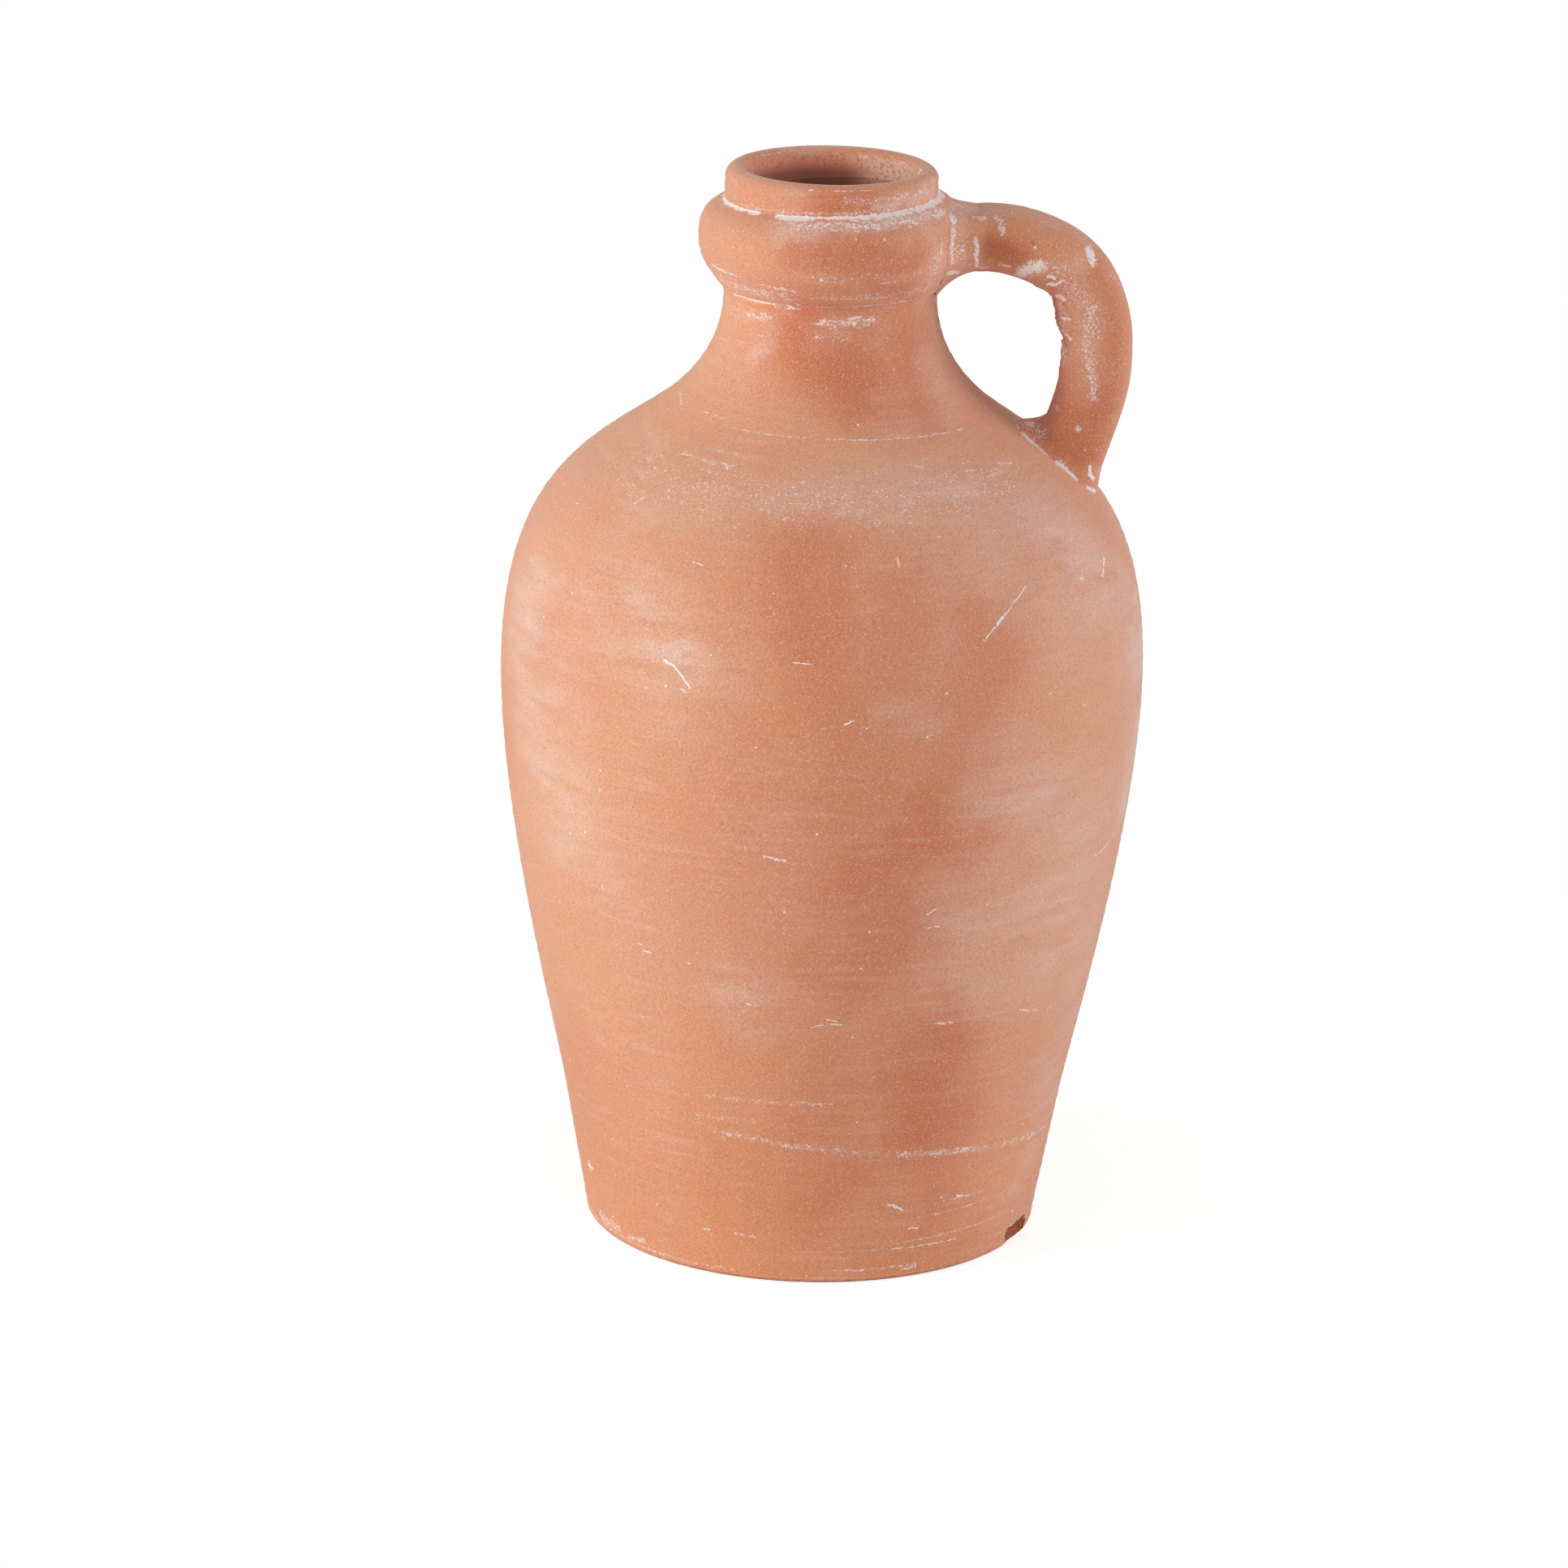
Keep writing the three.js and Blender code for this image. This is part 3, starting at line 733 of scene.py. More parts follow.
@dataclass
class Cover:
    """How strong the marks of each kind are over one piece.

    Every new mark joins the others of its kind at once, which keeps the materials small. The edges of marks
    are pushed about by noise, by its waves for each millimetre and its width in millimetres.
    """

    graph: Graph
    marking: Marking
    fields: dict[Mark, Socket] = field(default_factory=dict)
    pushes: dict[Point, Socket] = field(default_factory=dict)
    fine_push: Point = (0.35, 1.6)
    ring_push: Point = (0.35, 0.7)
    broad_push: Point = (0.032, 34.0)
    strap_push: Point = (0.05, 8.0)
    rim_edge: float = 1.4
    dusting: float = 3.2

    def __post_init__(self) -> None:
        """Lays all the marks of the piece."""
        for stroke in self.marking.strokes:
            self.add_stroke(stroke)
        if self.marking.flat:
            self.keep_in_front()
        if self.marking.rings:
            self.add_rings()
        if self.marking.joint_reach:
            self.add_joints()
        self.add_strays()

    def add(self, kind: Mark, mark: Socket) -> None:
        """Joins a mark to the others of its kind."""
        known = self.fields.get(kind)
        self.fields[kind] = mark if known is None else self.graph.greater(known, mark)

    def pushed(self, push: Point) -> Socket:
        """Gives the place pushed about by noise, so that marks have uneven edges.

        Args:
            push: The noise's waves for each millimetre, and its width in millimetres.

        Returns:
            The pushed place.
        """
        if push not in self.pushes:
            g = self.graph
            inputs = {"Vector": g.place, "Scale": push[0], "Detail": 3.0}
            lumps = g.node("ShaderNodeTexNoise", inputs, noise_dimensions="3D").outputs["Color"]
            shift = g.vector("SCALE", g.vector("SUBTRACT", lumps, (0.5, 0.5, 0.5)), push[1])
            self.pushes[push] = g.vector("ADD", g.place, shift)
        return self.pushes[push]

    def add_stroke(self, stroke: Stroke) -> None:
        """Adds a value that is highest along a stroke and fades off it.

        Args:
            stroke: The stroke.
        """
        g, flat = self.graph, self.marking.flat
        broad = self.strap_push if flat else self.broad_push
        place = self.pushed(self.fine_push if stroke.kind in (Mark.SCRATCH, Mark.SMEAR) else broad)
        if flat:
            place = g.vector("MULTIPLY", place, (1, 0, 1))
            ends = [Vector((x, 0.0, z)) for x, z in stroke.places]
        else:
            ends = [self.marking.wall.place(*p) for p in stroke.places]
        for off in self.distances(place, ends):
            self.add(stroke.kind, g.ramp(off, stroke.reach, 0, 0, stroke.strength))

    def distances(self, place: Socket, ends: list[Vector]) -> Iterator[Socket]:
        """Gives a place's distance from a dot, or from each straight part of a chain.

        Args:
            place: The point of the surface.
            ends: The dot, or the corners of the chain.

        Returns:
            One distance for a dot, or one for each part.
        """
        g = self.graph
        if len(ends) == 1:
            yield g.vector("DISTANCE", place, tuple(ends[0]))
        for start, end in zip(ends, ends[1:]):
            along = end - start
            from_start = g.vector("SUBTRACT", place, tuple(start))
            share = g.vector("DOT_PRODUCT", from_start, tuple(along / along.length_squared))
            foot = g.vector("SCALE", tuple(along), g.math("ADD", share, 0, clamp=True))
            yield g.vector("DISTANCE", from_start, foot)

    def keep_in_front(self) -> None:
        """Takes the handle's marks off its far side."""
        front = self.graph.ramp(self.graph.parts[1], 4.0, -5.0)
        for kind, mark in self.fields.items():
            self.fields[kind] = self.graph.times(mark, front)

    def add_rings(self) -> None:
        """Adds the lines round the jug, which fade off their ragged edges and past their ends."""
        g = self.graph
        place = self.pushed(self.ring_push)
        x, y, height = g.split(place)
        azimuth = g.math("DEGREES", g.math("ARCTAN2", x, g.times(y, -1)))
        sine = g.math("SINE", g.math("RADIANS", azimuth))
        radius = g.vector("LENGTH", g.vector("MULTIPLY", place, (1, 1, 0)))
        rim = self.marking.wall.sizes.mouth_radius + self.rim_edge
        ragged = g.scaled(g.noise(0.5, 3, 0.7), 1.8, -0.9)
        for ring in self.marking.rings:
            level = g.scaled(azimuth, ring.slope, ring.height)
            if ring.sway:
                level = g.scaled(sine, ring.sway, level)
            off = g.scaled(ragged, ring.reach, g.math("ABSOLUTE", g.math("SUBTRACT", height, level)))
            mark = g.ramp(off, ring.reach, 0, 0, ring.strength)
            if ring.end - ring.start < FULL_TURN:
                mark = g.times(mark, g.ramp(azimuth, ring.start - ring.fade, ring.start + ring.fade))
                mark = g.times(mark, g.ramp(azimuth, ring.end + ring.fade, ring.end - ring.fade))
            if ring.inside:
                mark = g.times(mark, g.ramp(radius, rim + 0.4, rim))
            self.add(ring.kind, mark)

    def add_joints(self) -> None:
        """Adds the lime in the handle's joints, and the dusting beside it."""
        g, reach = self.graph, self.marking.joint_reach
        thick = g.ramp(g.noise(0.11, 2, 0.5), 0.38, 0.58, 0.35, 1.4)
        for kind, width, strength in ((Mark.SCRATCH, reach, 1.0), (Mark.SMEAR, self.dusting * reach, 0.85)):
            self.add(kind, g.times(g.ramp(g.attribute("joint"), width, 0, 0, strength), thick))

    def add_strays(self) -> None:
        """Adds lime that lies anywhere: dust, streaks drawn out along the turning, soft patches and specks.

        The dust and the patches lie mostly on the far side.
        """
        g = self.graph
        depth = g.parts[1]
        if self.marking.flat:
            dust = g.ramp(g.noise(0.055, 3, 0.6), 0.46, 0.72)
            self.add(Mark.SMEAR, g.times(dust, g.ramp(depth, -6, 10, 0.72, 1.1)))
        else:
            streaks = g.ramp(g.noise((0.05, 0.05, 0.5), 3, 0.6), 0.46, 0.8)
            self.add(Mark.SMEAR, g.times(streaks, g.ramp(g.noise(0.017, 2, 0.5), 0.5, 0.72)))
            patches = g.ramp(g.noise((0.009, 0.009, 0.014), 2, 0.5), 0.48, 0.68)
            self.add(Mark.BLOOM, g.times(patches, g.ramp(depth, -30, 40)))
        self.add(Mark.SCRATCH, self.specks())

    def specks(self) -> Socket:
        """Gives small specks of lime, one in the middle of some of the cells that space is split into.

        Returns:
            How strong the specks are.
        """
        g = self.graph
        cells = g.node("ShaderNodeTexVoronoi", {"Vector": g.place, "Scale": 0.19}, feature="F1")
        chance = g.node("ShaderNodeSeparateColor", {0: cells.outputs["Color"]}).outputs[0]
        size = g.ramp(chance, 0.55, 1, 0, 0.12)
        return g.ramp(g.math("SUBTRACT", cells.outputs["Distance"], size), 0, -0.07)


@dataclass(frozen=True)
class FiredClay:
    """Unglazed fired clay: salmon to rose, sandy, dull, with lime on it.

    The shares say how much of a colour shows where it is strongest, and the depths are of the bumps.
    """

    warm: Colour = (222, 156, 116)
    deep: Colour = (205, 116, 77)
    rose: Colour = (222, 157, 130)
    haze: Colour = (234, 188, 173)
    grain_dark: Colour = (176, 100, 70)
    lime: Colour = (240, 232, 230)
    ochre: Colour = (226, 152, 106)
    # Colour of the darker marks, which are mostly painted shade.
    shade_and_dark_mark: Colour = (138, 82, 66)
    mouth: Colour = (250, 158, 130)
    # Painted light: the paler clay on the right inside the mouth.
    mouth_painted_light: Colour = (252, 200, 172)
    # Painted shade deep in the mouth, also the colour of its dark crumbs.
    mouth_shade_and_crumbs: Colour = (142, 88, 71)
    roughness: float = 0.93
    gloss: float = 0.25
    dust: float = 0.22
    dust_roughness: float = 0.6
    flame_and_shade_share: float = 0.9
    shade_and_dark_mark_share: float = 0.7
    haze_share: float = 0.34
    grain_share: float = 0.45
    pale_share: float = 0.62
    smear_share: float = 0.92
    bloom_share: float = 0.46
    sand_depth: float = 0.16
    streak_depth: float = 0.16
    pit_depth: float = 0.25
    lime_depth: float = 0.12
    bump: float = 0.55

    def material(self, name: str, marking: Marking) -> bpy.types.Material:
        """Builds the clay of one piece, with its marks.

        Args:
            name: Name of the material.
            marking: What lies on the clay.

        Returns:
            The material.
        """
        made = bpy.data.materials.new(name)
        g = Graph(made)
        cover = Cover(g, marking)
        # The deeper orange, from the fire and, on the handle, from painted shade.
        flame_and_shade: Value = marking.fired
        if Mark.FLAME_AND_SHADE in cover.fields:
            flame_and_shade = g.scaled(cover.fields[Mark.FLAME_AND_SHADE], self.flame_and_shade_share, flame_and_shade)
        lime, rise = self.lime_cover(g, cover)
        colour = self.clay_colour(g, flame_and_shade, marking.flat)
        # Darker marks, mostly painted shade in creases, in hollows and along the underside's edge.
        if Mark.SHADE_AND_DARK_MARK in cover.fields:
            colour = g.mix(g.times(cover.fields[Mark.SHADE_AND_DARK_MARK], self.shade_and_dark_mark_share), colour, self.shade_and_dark_mark)
        # Hidden inside surfaces, and the lip's mouth where its outside value fades, take the mouth's colour
        # with its painted light and shade.
        if not marking.flat:
            shown = g.attribute("outside")
            lime = g.times(lime, shown)
            colour = g.mix(g.math("SUBTRACT", 1, shown), colour, self.mouth_colour(g))
        g.output("ShaderNodeBsdfPrincipled", {
            "Base Color": g.mix(lime, colour, self.lime_colour(g)),
            "Roughness": self.roughness,
            "Specular IOR Level": self.gloss,
            "Sheen Weight": self.dust,
            "Sheen Roughness": self.dust_roughness,
            "Normal": self.surface(g, rise),
        })
        return made

    def clay_colour(self, g: Graph, flame_and_shade: Value, flat: bool) -> Socket:
        """Gives the clay's colour: broad fire clouds, the deeper orange passed in, which on the handle is
        partly painted shade, turned streaks, haze and sandy grain.

        Args:
            g: The material's nodes.
            flame_and_shade: How far the clay has turned to the deeper orange.
            flat: True for a piece of the handle, which has no turned streaks.

        Returns:
            The colour.
        """
        clouds = g.ramp(g.noise(0.013, 3, 0.55), 0.38, 0.64, 0.1, 0.5)
        colour = g.mix(clouds, self.warm, self.rose)
        colour = g.mix(g.ramp(g.parts[2], 135, 20, 0, 0.9), colour, self.ochre)
        patches = g.ramp(g.noise(0.0095, 3, 0.6, shift=(310, 90, 45)), 0.5, 0.72)
        patches = g.times(patches, g.ramp(g.parts[1], -40, 60, 0.25, 0.8))
        colour = g.mix(g.greater(patches, flame_and_shade), colour, self.deep)
        if not flat:
            streaks = g.ramp(g.noise((0.03, 0.03, 0.42), 4, 0.65), 0.42, 0.78)
            streaks = g.times(streaks, g.ramp(g.noise(0.024, 3, 0.6), 0.38, 0.68))
            colour = g.mix(g.times(streaks, self.haze_share), colour, self.haze)
        grain = g.ramp(g.noise(1.5, 4, 0.75), 0.52, 0.36, 0, self.grain_share)
        pale = g.ramp(g.noise(1.5, 3, 0.75, shift=(7, 31, 3)), 0.52, 0.68, 0, self.pale_share)
        return g.mix(pale, g.mix(grain, colour, self.grain_dark), self.haze)

    def mouth_colour(self, g: Graph) -> Socket:
        """Gives the crumbly clay inside the mouth, with painted light on the right and painted shade further
        down.

        Args:
            g: The material's nodes.

        Returns:
            The colour.
        """
        x, _, height = g.parts
        # Painted light: paler towards the right of the mouth.
        colour = g.mix(g.ramp(x, 2, 17), self.mouth, self.mouth_painted_light)
        # Painted shade down the mouth, less on its right side.
        low = g.times(g.ramp(height, 374, 368), g.ramp(x, 16, 4, 0.15, 0.85))
        crumb = g.ramp(g.noise(0.8, 3, 0.75), 0.54, 0.38, 0, 0.6)
        return g.mix(g.greater(low, crumb), colour, self.mouth_shade_and_crumbs)

    def lime_colour(self, g: Graph) -> Socket:
        """Gives the lime's colour, a little pinker where it is thin."""
        return g.mix(g.times(g.ramp(g.noise(0.9, 2, 0.6), 0.35, 0.7), 0.25), self.lime, self.haze)

    def surface(self, g: Graph, rise: Value) -> Socket:
        """Gives the normal of the sandy surface, with its turned streaks, pits and raised lime.

        Args:
            g: The material's nodes.
            rise: How much of the lime stands proud.

        Returns:
            The normal.
        """
        height = g.times(g.noise(1.3, 4, 0.65), self.sand_depth)
        height = g.scaled(g.noise((0.02, 0.02, 1.1), 3, 0.6), self.streak_depth, height)
        pits = g.ramp(g.noise(0.42, 2, 0.5), 0.33, 0.27, 0, -self.pit_depth)
        height = g.scaled(rise, self.lime_depth, g.math("ADD", height, pits))
        return g.bump(height, self.bump)

    def lime_cover(self, g: Graph, cover: Cover) -> tuple[Socket, Value]:
        """Breaks the marks up into lime.

        Args:
            g: The material's nodes.
            cover: How strong the marks of each kind are.

        Returns:
            How much lime covers the clay, and how much of it stands proud, from 0 to 1. Only the handle's
            lime is thick enough to stand proud.
        """
        lump, speck = g.noise(0.55, 3, 0.6), g.noise(1.3, 3, 0.7)
        crisp = g.scaled(lump, -1.1, g.math("ADD", cover.fields[Mark.SCRATCH], 0.3))
        crisp = g.ramp(g.scaled(speck, -0.6, crisp), 0, 0.25)
        smear = g.scaled(speck, 3.6, g.math("SUBTRACT", cover.fields[Mark.SMEAR], 2.76))
        if not cover.marking.flat:
            drawn = g.noise((0.2, 0.2, 1.15), 3, 0.65)
            smear = g.scaled(g.math("SUBTRACT", drawn, 0.5), 1.7, smear)
        smear = g.ramp(smear, -0.1, 0.5, 0, self.smear_share)
        wash = g.times(g.ramp(cover.fields[Mark.SMEAR], 0.35, 1.5, 0, 0.3), g.ramp(lump, 0.3, 0.7))
        whole = g.greater(crisp, g.greater(smear, wash))
        if Mark.BLOOM in cover.fields:
            patchy = g.ramp(g.noise((0.03, 0.03, 0.13), 4, 0.65), 0.3, 0.66, 0.2, 1)
            dusty = g.times(g.ramp(speck, 0.36, 0.66, 0.3, 1), patchy)
            whole = g.greater(whole, g.times(g.times(cover.fields[Mark.BLOOM], dusty), self.bloom_share))
        return whole, crisp if cover.marking.flat else 0.0


@dataclass(frozen=True)
class RawClay:
    """The rough, darker clay inside a fresh break."""

    core: Colour = (186, 108, 70)
    grit: Colour = (152, 82, 52)
    roughness: float = 1.0

    def material(self, name: str) -> bpy.types.Material:
        """Builds the raw clay.

        Args:
            name: Name of the material.

        Returns:
            The material.
        """
        made = bpy.data.materials.new(name)
        g = Graph(made)
        crumb = g.noise(0.9, 4, 0.7)
        colour = g.mix(g.ramp(crumb, 0.3, 0.65), self.grit, self.core)
        inputs = {"Base Color": colour, "Roughness": self.roughness, "Normal": g.bump(crumb)}
        g.output("ShaderNodeBsdfPrincipled", inputs)
        return made


@dataclass
class Lump:
    """A closed lump of clay: points in millimetres and faces, made into a named Blender object."""

    name: str
    points: np.ndarray
    faces: Faces
    sharp_angle: ClassVar[float] = math.radians(38.0)

    def __post_init__(self) -> None:
        """Lays the points out in rows of three, and turns the faces to look outwards."""
        self.points = self.points.reshape(-1, 3)
        if self.volume() < 0:
            self.faces = [face[::-1] for face in self.faces]

    def volume(self) -> float:
        """Gives the enclosed volume.

        Returns:
            Cubic millimetres, which are negative where the faces look inwards.
        """
        fans = [(f[0], f[i], f[i + 1]) for f in self.faces for i in range(1, len(f) - 1)]
        a, b, c = self.points[np.array(fans).T]
        return float(np.einsum("ij,ij->", a, np.cross(b, c))) / 6

    def build(self, materials: Sequence[bpy.types.Material], values: dict[str, np.ndarray] | None = None,
              bands: Sequence[float] = ()) -> bpy.types.Object:
        """Makes the object, smooth except at its sharp edges.

        Args:
            materials: The clay of the piece, one for each band.
            values: Numbers that the clay reads at each point, by name.
            bands: Heights at which the clay changes from one material to the next.

        Returns:
            The object, linked to the scene.
        """
        mesh = bpy.data.meshes.new(self.name)
        mesh.from_pydata((self.points / METRE).tolist(), [], self.faces)
        mesh.polygons.foreach_set("use_smooth", [True] * len(mesh.polygons))
        mesh.set_sharp_from_angle(angle=self.sharp_angle)
        for material in materials:
            mesh.materials.append(material)
        if bands:
            levels = [self.points[list(face), 2].mean() for face in self.faces]
            mesh.polygons.foreach_set("material_index", np.searchsorted(bands, levels).tolist())
        for name, numbers in (values or {}).items():
            layer = mesh.attributes.new(name, "FLOAT", "POINT")
            layer.data.foreach_set("value", numbers.ravel().astype(np.float32))
        mesh.update()
        made = bpy.data.objects.new(f"fired_{self.name}", mesh)
        bpy.context.scene.collection.objects.link(made)
        return made


def seat(piece: bpy.types.Object, node: str, slot: str) -> None:
    """Sets a piece in the frame, in place of its CAD node, and reports it.

    Args:
        piece: The piece's object.
        node: Name of the CAD node that it replaces.
        slot: Name of its material slot, which is not used.
    """
    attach(piece, BODY)
    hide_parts(node)
    corners = np.array([v.co for v in piece.data.vertices]) * METRE
    size = np.ptp(corners, axis=0).round(1).tolist()
    log.info("%s: %d faces, %s mm", piece.name, len(piece.data.polygons), size)


@dataclass(frozen=True)
class StrapSection:
    """A cross-section of the strap: its width along y, its thickness over and under, and its squareness."""

    width: float
    over: float
    under: float
    squareness: float = 2.7

    def blended(self, other: Self, share: float) -> Self:
        """Gives the section part of the way to another one."""
        return StrapSection(*(a + (b - a) * share for a, b in zip(astuple(self), astuple(other))))

    def squared(self, wave: np.ndarray) -> np.ndarray:
        """Makes a round section's wave as square as the section is."""
        return np.sign(wave) * np.abs(wave) ** (2 / self.squareness)

    def ring(self, middle: np.ndarray, outward: np.ndarray, count: int) -> np.ndarray:
        """Gives the section's points about a middle point, in the plane of y and an outward direction.

        Args:
            middle: The middle point.
            outward: The direction of the section's thickness.
            count: How many points there are.

        Returns:
            Rows of x, y and z.
        """
        angles = np.linspace(0, 2 * math.pi, count, endpoint=False)
        lift = self.squared(np.sin(angles))
        lift = lift * np.where(lift > 0, self.over, self.under)
        points = middle + lift[:, None] * outward
        points[:, 1] = -self.squared(np.cos(angles)) * self.width / 2
        return points


@dataclass(frozen=True)
class Press:
    """A hollow pressed into the handle, or a lump left on it where the depth is negative.

    It reaches one distance away from the collar, another towards it, and a third up, down and across.
    """

    place: Triple
    reach: float
    depth: float
    towards_collar: float | None = None
    away: float | None = None

    def taken(self, points: np.ndarray) -> np.ndarray:
        """Gives the depth of clay that the hollow takes at some points.

        Args:
            points: Points on the handle.

        Returns:
            Depths in millimetres.
        """
        off = points - np.array(self.place)
        near, far = self.towards_collar or self.reach, self.away or self.reach
        along = off[..., 0] / np.where(off[..., 0] < 0, near, far)
        return self.depth * np.exp(-(along**2) - (off[..., 1] ** 2 + off[..., 2] ** 2) / self.reach**2)


@dataclass
class PulledHandle:
    """The strap and its two wads of luting clay as one flow of sections, from the collar to the shoulder."""

    wall: Wall
    count: int = 120
    root: StrapSection = StrapSection(32.0, 11.15, 11.15)
    upright: StrapSection = StrapSection(28.0, 12.1, 12.1)
    foot: StrapSection = StrapSection(26.0, 12.0, 12.0)
    top_wad: float = 3.6
    foot_wad: float = 7.0
    reach: float = 46.2
    root_rise: float = 0.8
    drop: float = 37.6
    foot_inset: float = 28.8
    lean: float = 0.33
    straight: float = 17.0
    bend_start_pull: float = 0.68
    bend_end_pull: float = 0.66
    upright_pull: float = 0.4
    wad_spread: StrapSection = StrapSection(14.0, 3.4, 9.0)
    wad_squareness: float = 2.0
    foot_spread: float = 1.6
    web: float = 10.0
    web_fall: float = 1.35
    wad_steps: int = 12
    bend_steps: int = 72
    upright_steps: int = 40
    straight_steps: int = 10
    sunk: float = 0.12
    search_steps: int = 4000
    halvings: int = 40
    least_way: float = -6.0
    longest_way: float = 40.0
    cap_shares: tuple[float, ...] = (0.75, 0.5, 0.25, 0.02)
    far_off: float = 99.0
    near_handle: Point = (20.0, 240.0)
    points_at_once: int = 4000
    held_rings: float = 5.0
    crease_depth: float = 0.3
    crease_rings: float = 1.4
    bend_hub: Point = (64.0, 318.0)
    half_thickness: float = 12.0
    hand_waves: float = 0.35
    inner_knobs: float = 1.9
    inner_pits: float = 0.8
    fine_pits: float = 0.05
    presses: tuple[Press, ...] = (
        Press((53, -18, 352.5), 9.5, 4.6, towards_collar=2, away=11),
        Press((61, -17, 348), 6.5, 1.7),
        Press((70, -16, 355), 8, -0.6),
        Press((70.5, -13, 345.5), 4, -0.9),
        Press((61, 0, 365.5), 10, -0.7),
        Press((77, -9, 338.5), 2.6, 0.7),
        Press((80, -6, 331), 2.4, 0.5),
        Press((80.5, -7, 321), 2.6, 0.4),
        Press((69, -3, 289.5), 3.5, -0.9),
        Press((76.5, -5, 296), 4, 1.1),
        Press((73, -12, 283), 9, 1.3),
        Press((92, -12, 279), 4, -0.5),
    )

    @cached_property
    def root_place(self) -> np.ndarray:
        """Middle of the strap where it leaves the upper wad."""
        s = self.wall.sizes
        return np.array([s.collar_radius + self.top_wad, 0.0, s.collar_level + self.root_rise])

    @cached_property
    def foot_share(self) -> np.ndarray:
        """How far up the shoulder's curve the strap's middle line meets it.

        Returns:
            The share, as a row of one.
        """
        shares = np.linspace(0, 1, self.search_steps + 1)
        off = self.wall.shoulder.at(shares)[:, 0] - (self.wall.sizes.belly_radius - self.foot_inset)
        return shares[[np.argmin(np.abs(off))]]

    @cached_property
    def foot_place(self) -> np.ndarray:
        """Where the strap's middle line meets the shoulder."""
        radius, height = self.wall.shoulder.at(self.foot_share)[0]
        return np.array([radius, 0.0, height])

    @cached_property
    def foot_out(self) -> np.ndarray:
        """Direction straight out of the shoulder at the handle's foot."""
        way = self.wall.shoulder.way(self.foot_share)[0]
        return np.array([way[1], 0.0, -way[0]])

    @cached_property
    def foot_way(self) -> np.ndarray:
        """Direction in which the strap comes down on the shoulder."""
        way = np.array([-self.lean, 0.0, -1.0])
        return way / np.linalg.norm(way)

    def middle_line(self) -> list[tuple[np.ndarray, np.ndarray, StrapSection]]:
        """Follows the middle of the strap from its root to the start of its last straight.

        Returns:
            The middle points, the outward directions and the cross-sections.
        """
        reach = np.array([self.wall.sizes.collar_radius + self.reach, 0.0, self.root_place[2] - self.drop])
        straight = self.foot_place - self.foot_way * self.straight
        pull = (reach[2] - straight[2]) * self.upright_pull
        root = self.root_place
        over = (root[0] + (reach[0] - root[0]) * self.bend_start_pull, root[2])
        widest = tuple(reach[::2])
        bend = Curve(tuple(root[::2]), over, (reach[0], reach[2] + self.drop * self.bend_end_pull), widest)
        low = Curve(widest, (reach[0], reach[2] - pull), tuple((straight - self.foot_way * pull)[::2]),
                    tuple(straight[::2]))
        found = []
        for curve, first, last, steps in ((bend, self.root, self.upright, self.bend_steps),
                                          (low, self.upright, self.foot, self.upright_steps)):
            shares = np.linspace(0, 1, steps + 1)[(1 if found else 0):]
            for share, middle, way in zip(shares, curve.at(shares), curve.way(shares)):
                section = first.blended(last, float(eased(share, 0, 1)))
                found.append((np.array([middle[0], 0.0, middle[1]]),
                              np.array([-way[1], 0.0, way[0]]), section))
        return found

    def hit(self, starts: np.ndarray, way: np.ndarray) -> np.ndarray:
        """Follows a direction from some points until they are on the shoulder.

        Args:
            starts: The points.
            way: The direction.

        Returns:
            The points on the shoulder.
        """
        low = np.full(len(starts), self.least_way)
        high = np.full(len(starts), self.longest_way)
        for _ in range(self.halvings):
            middle = (low + high) / 2
            there = starts + middle[:, None] * way
            outside = np.hypot(there[:, 0], there[:, 1]) > self.wall.radius(there[:, 2]) - self.sunk
            low, high = np.where(outside, middle, low), np.where(outside, high, middle)
        return starts + low[:, None] * way

    @cached_property
    def flow(self) -> np.ndarray:
        """All the rings of points, from the seat on the collar to the seat on the shoulder.

        Returns:
            The rings, from the collar on.
        """
        rings = [*self.upper_wad_rings(), *self.strap_rings()]
        rings.extend(self.lower_wad_rings(rings[-1]))
        return self.worked(np.array(rings))

    def on_collar(self, points: np.ndarray) -> np.ndarray:
        """Gives the x at which points lie just inside the collar."""
        radii = self.wall.radius(points[:, 2]) - self.sunk
        return np.sqrt(np.maximum(radii**2 - points[:, 1] ** 2, 1.0))

    def upper_wad_rings(self) -> list[np.ndarray]:
        """Gives the rings of the upper wad, wider and lower against the collar, without its last one.

        Returns:
            The rings, from the collar on.
        """
        root, more = self.root, self.wad_spread
        wide = StrapSection(root.width + more.width, root.over + more.over, root.under + more.under,
                            self.wad_squareness)
        up = np.array([0.0, 0.0, 1.0])
        seat_x = self.on_collar(wide.ring(self.root_place, up, self.count))
        rings = []
        for step in range(self.wad_steps):
            share = step / self.wad_steps
            flare = (1 - share) ** 2
            ring = root.blended(wide, flare).ring(self.root_place, up, self.count)
            ring[:, 0] = seat_x + (self.root_place[0] - seat_x) * share
            rings.append(ring)
        return rings

    def strap_rings(self) -> list[np.ndarray]:
        """Gives the rings of the strap, the last ones slanting to lie along the shoulder.

        Returns:
            The rings, from the root on.
        """
        rings = [s.ring(m, o, self.count) for m, o, s in self.middle_line()]
        start = rings[-1]
        above = (start - self.foot_place) @ self.foot_out - self.foot_wad
        fall = above / -(self.foot_way @ self.foot_out)
        for step in range(1, self.straight_steps + 1):
            rings.append(start + (fall * step / self.straight_steps)[:, None] * self.foot_way)
        return rings

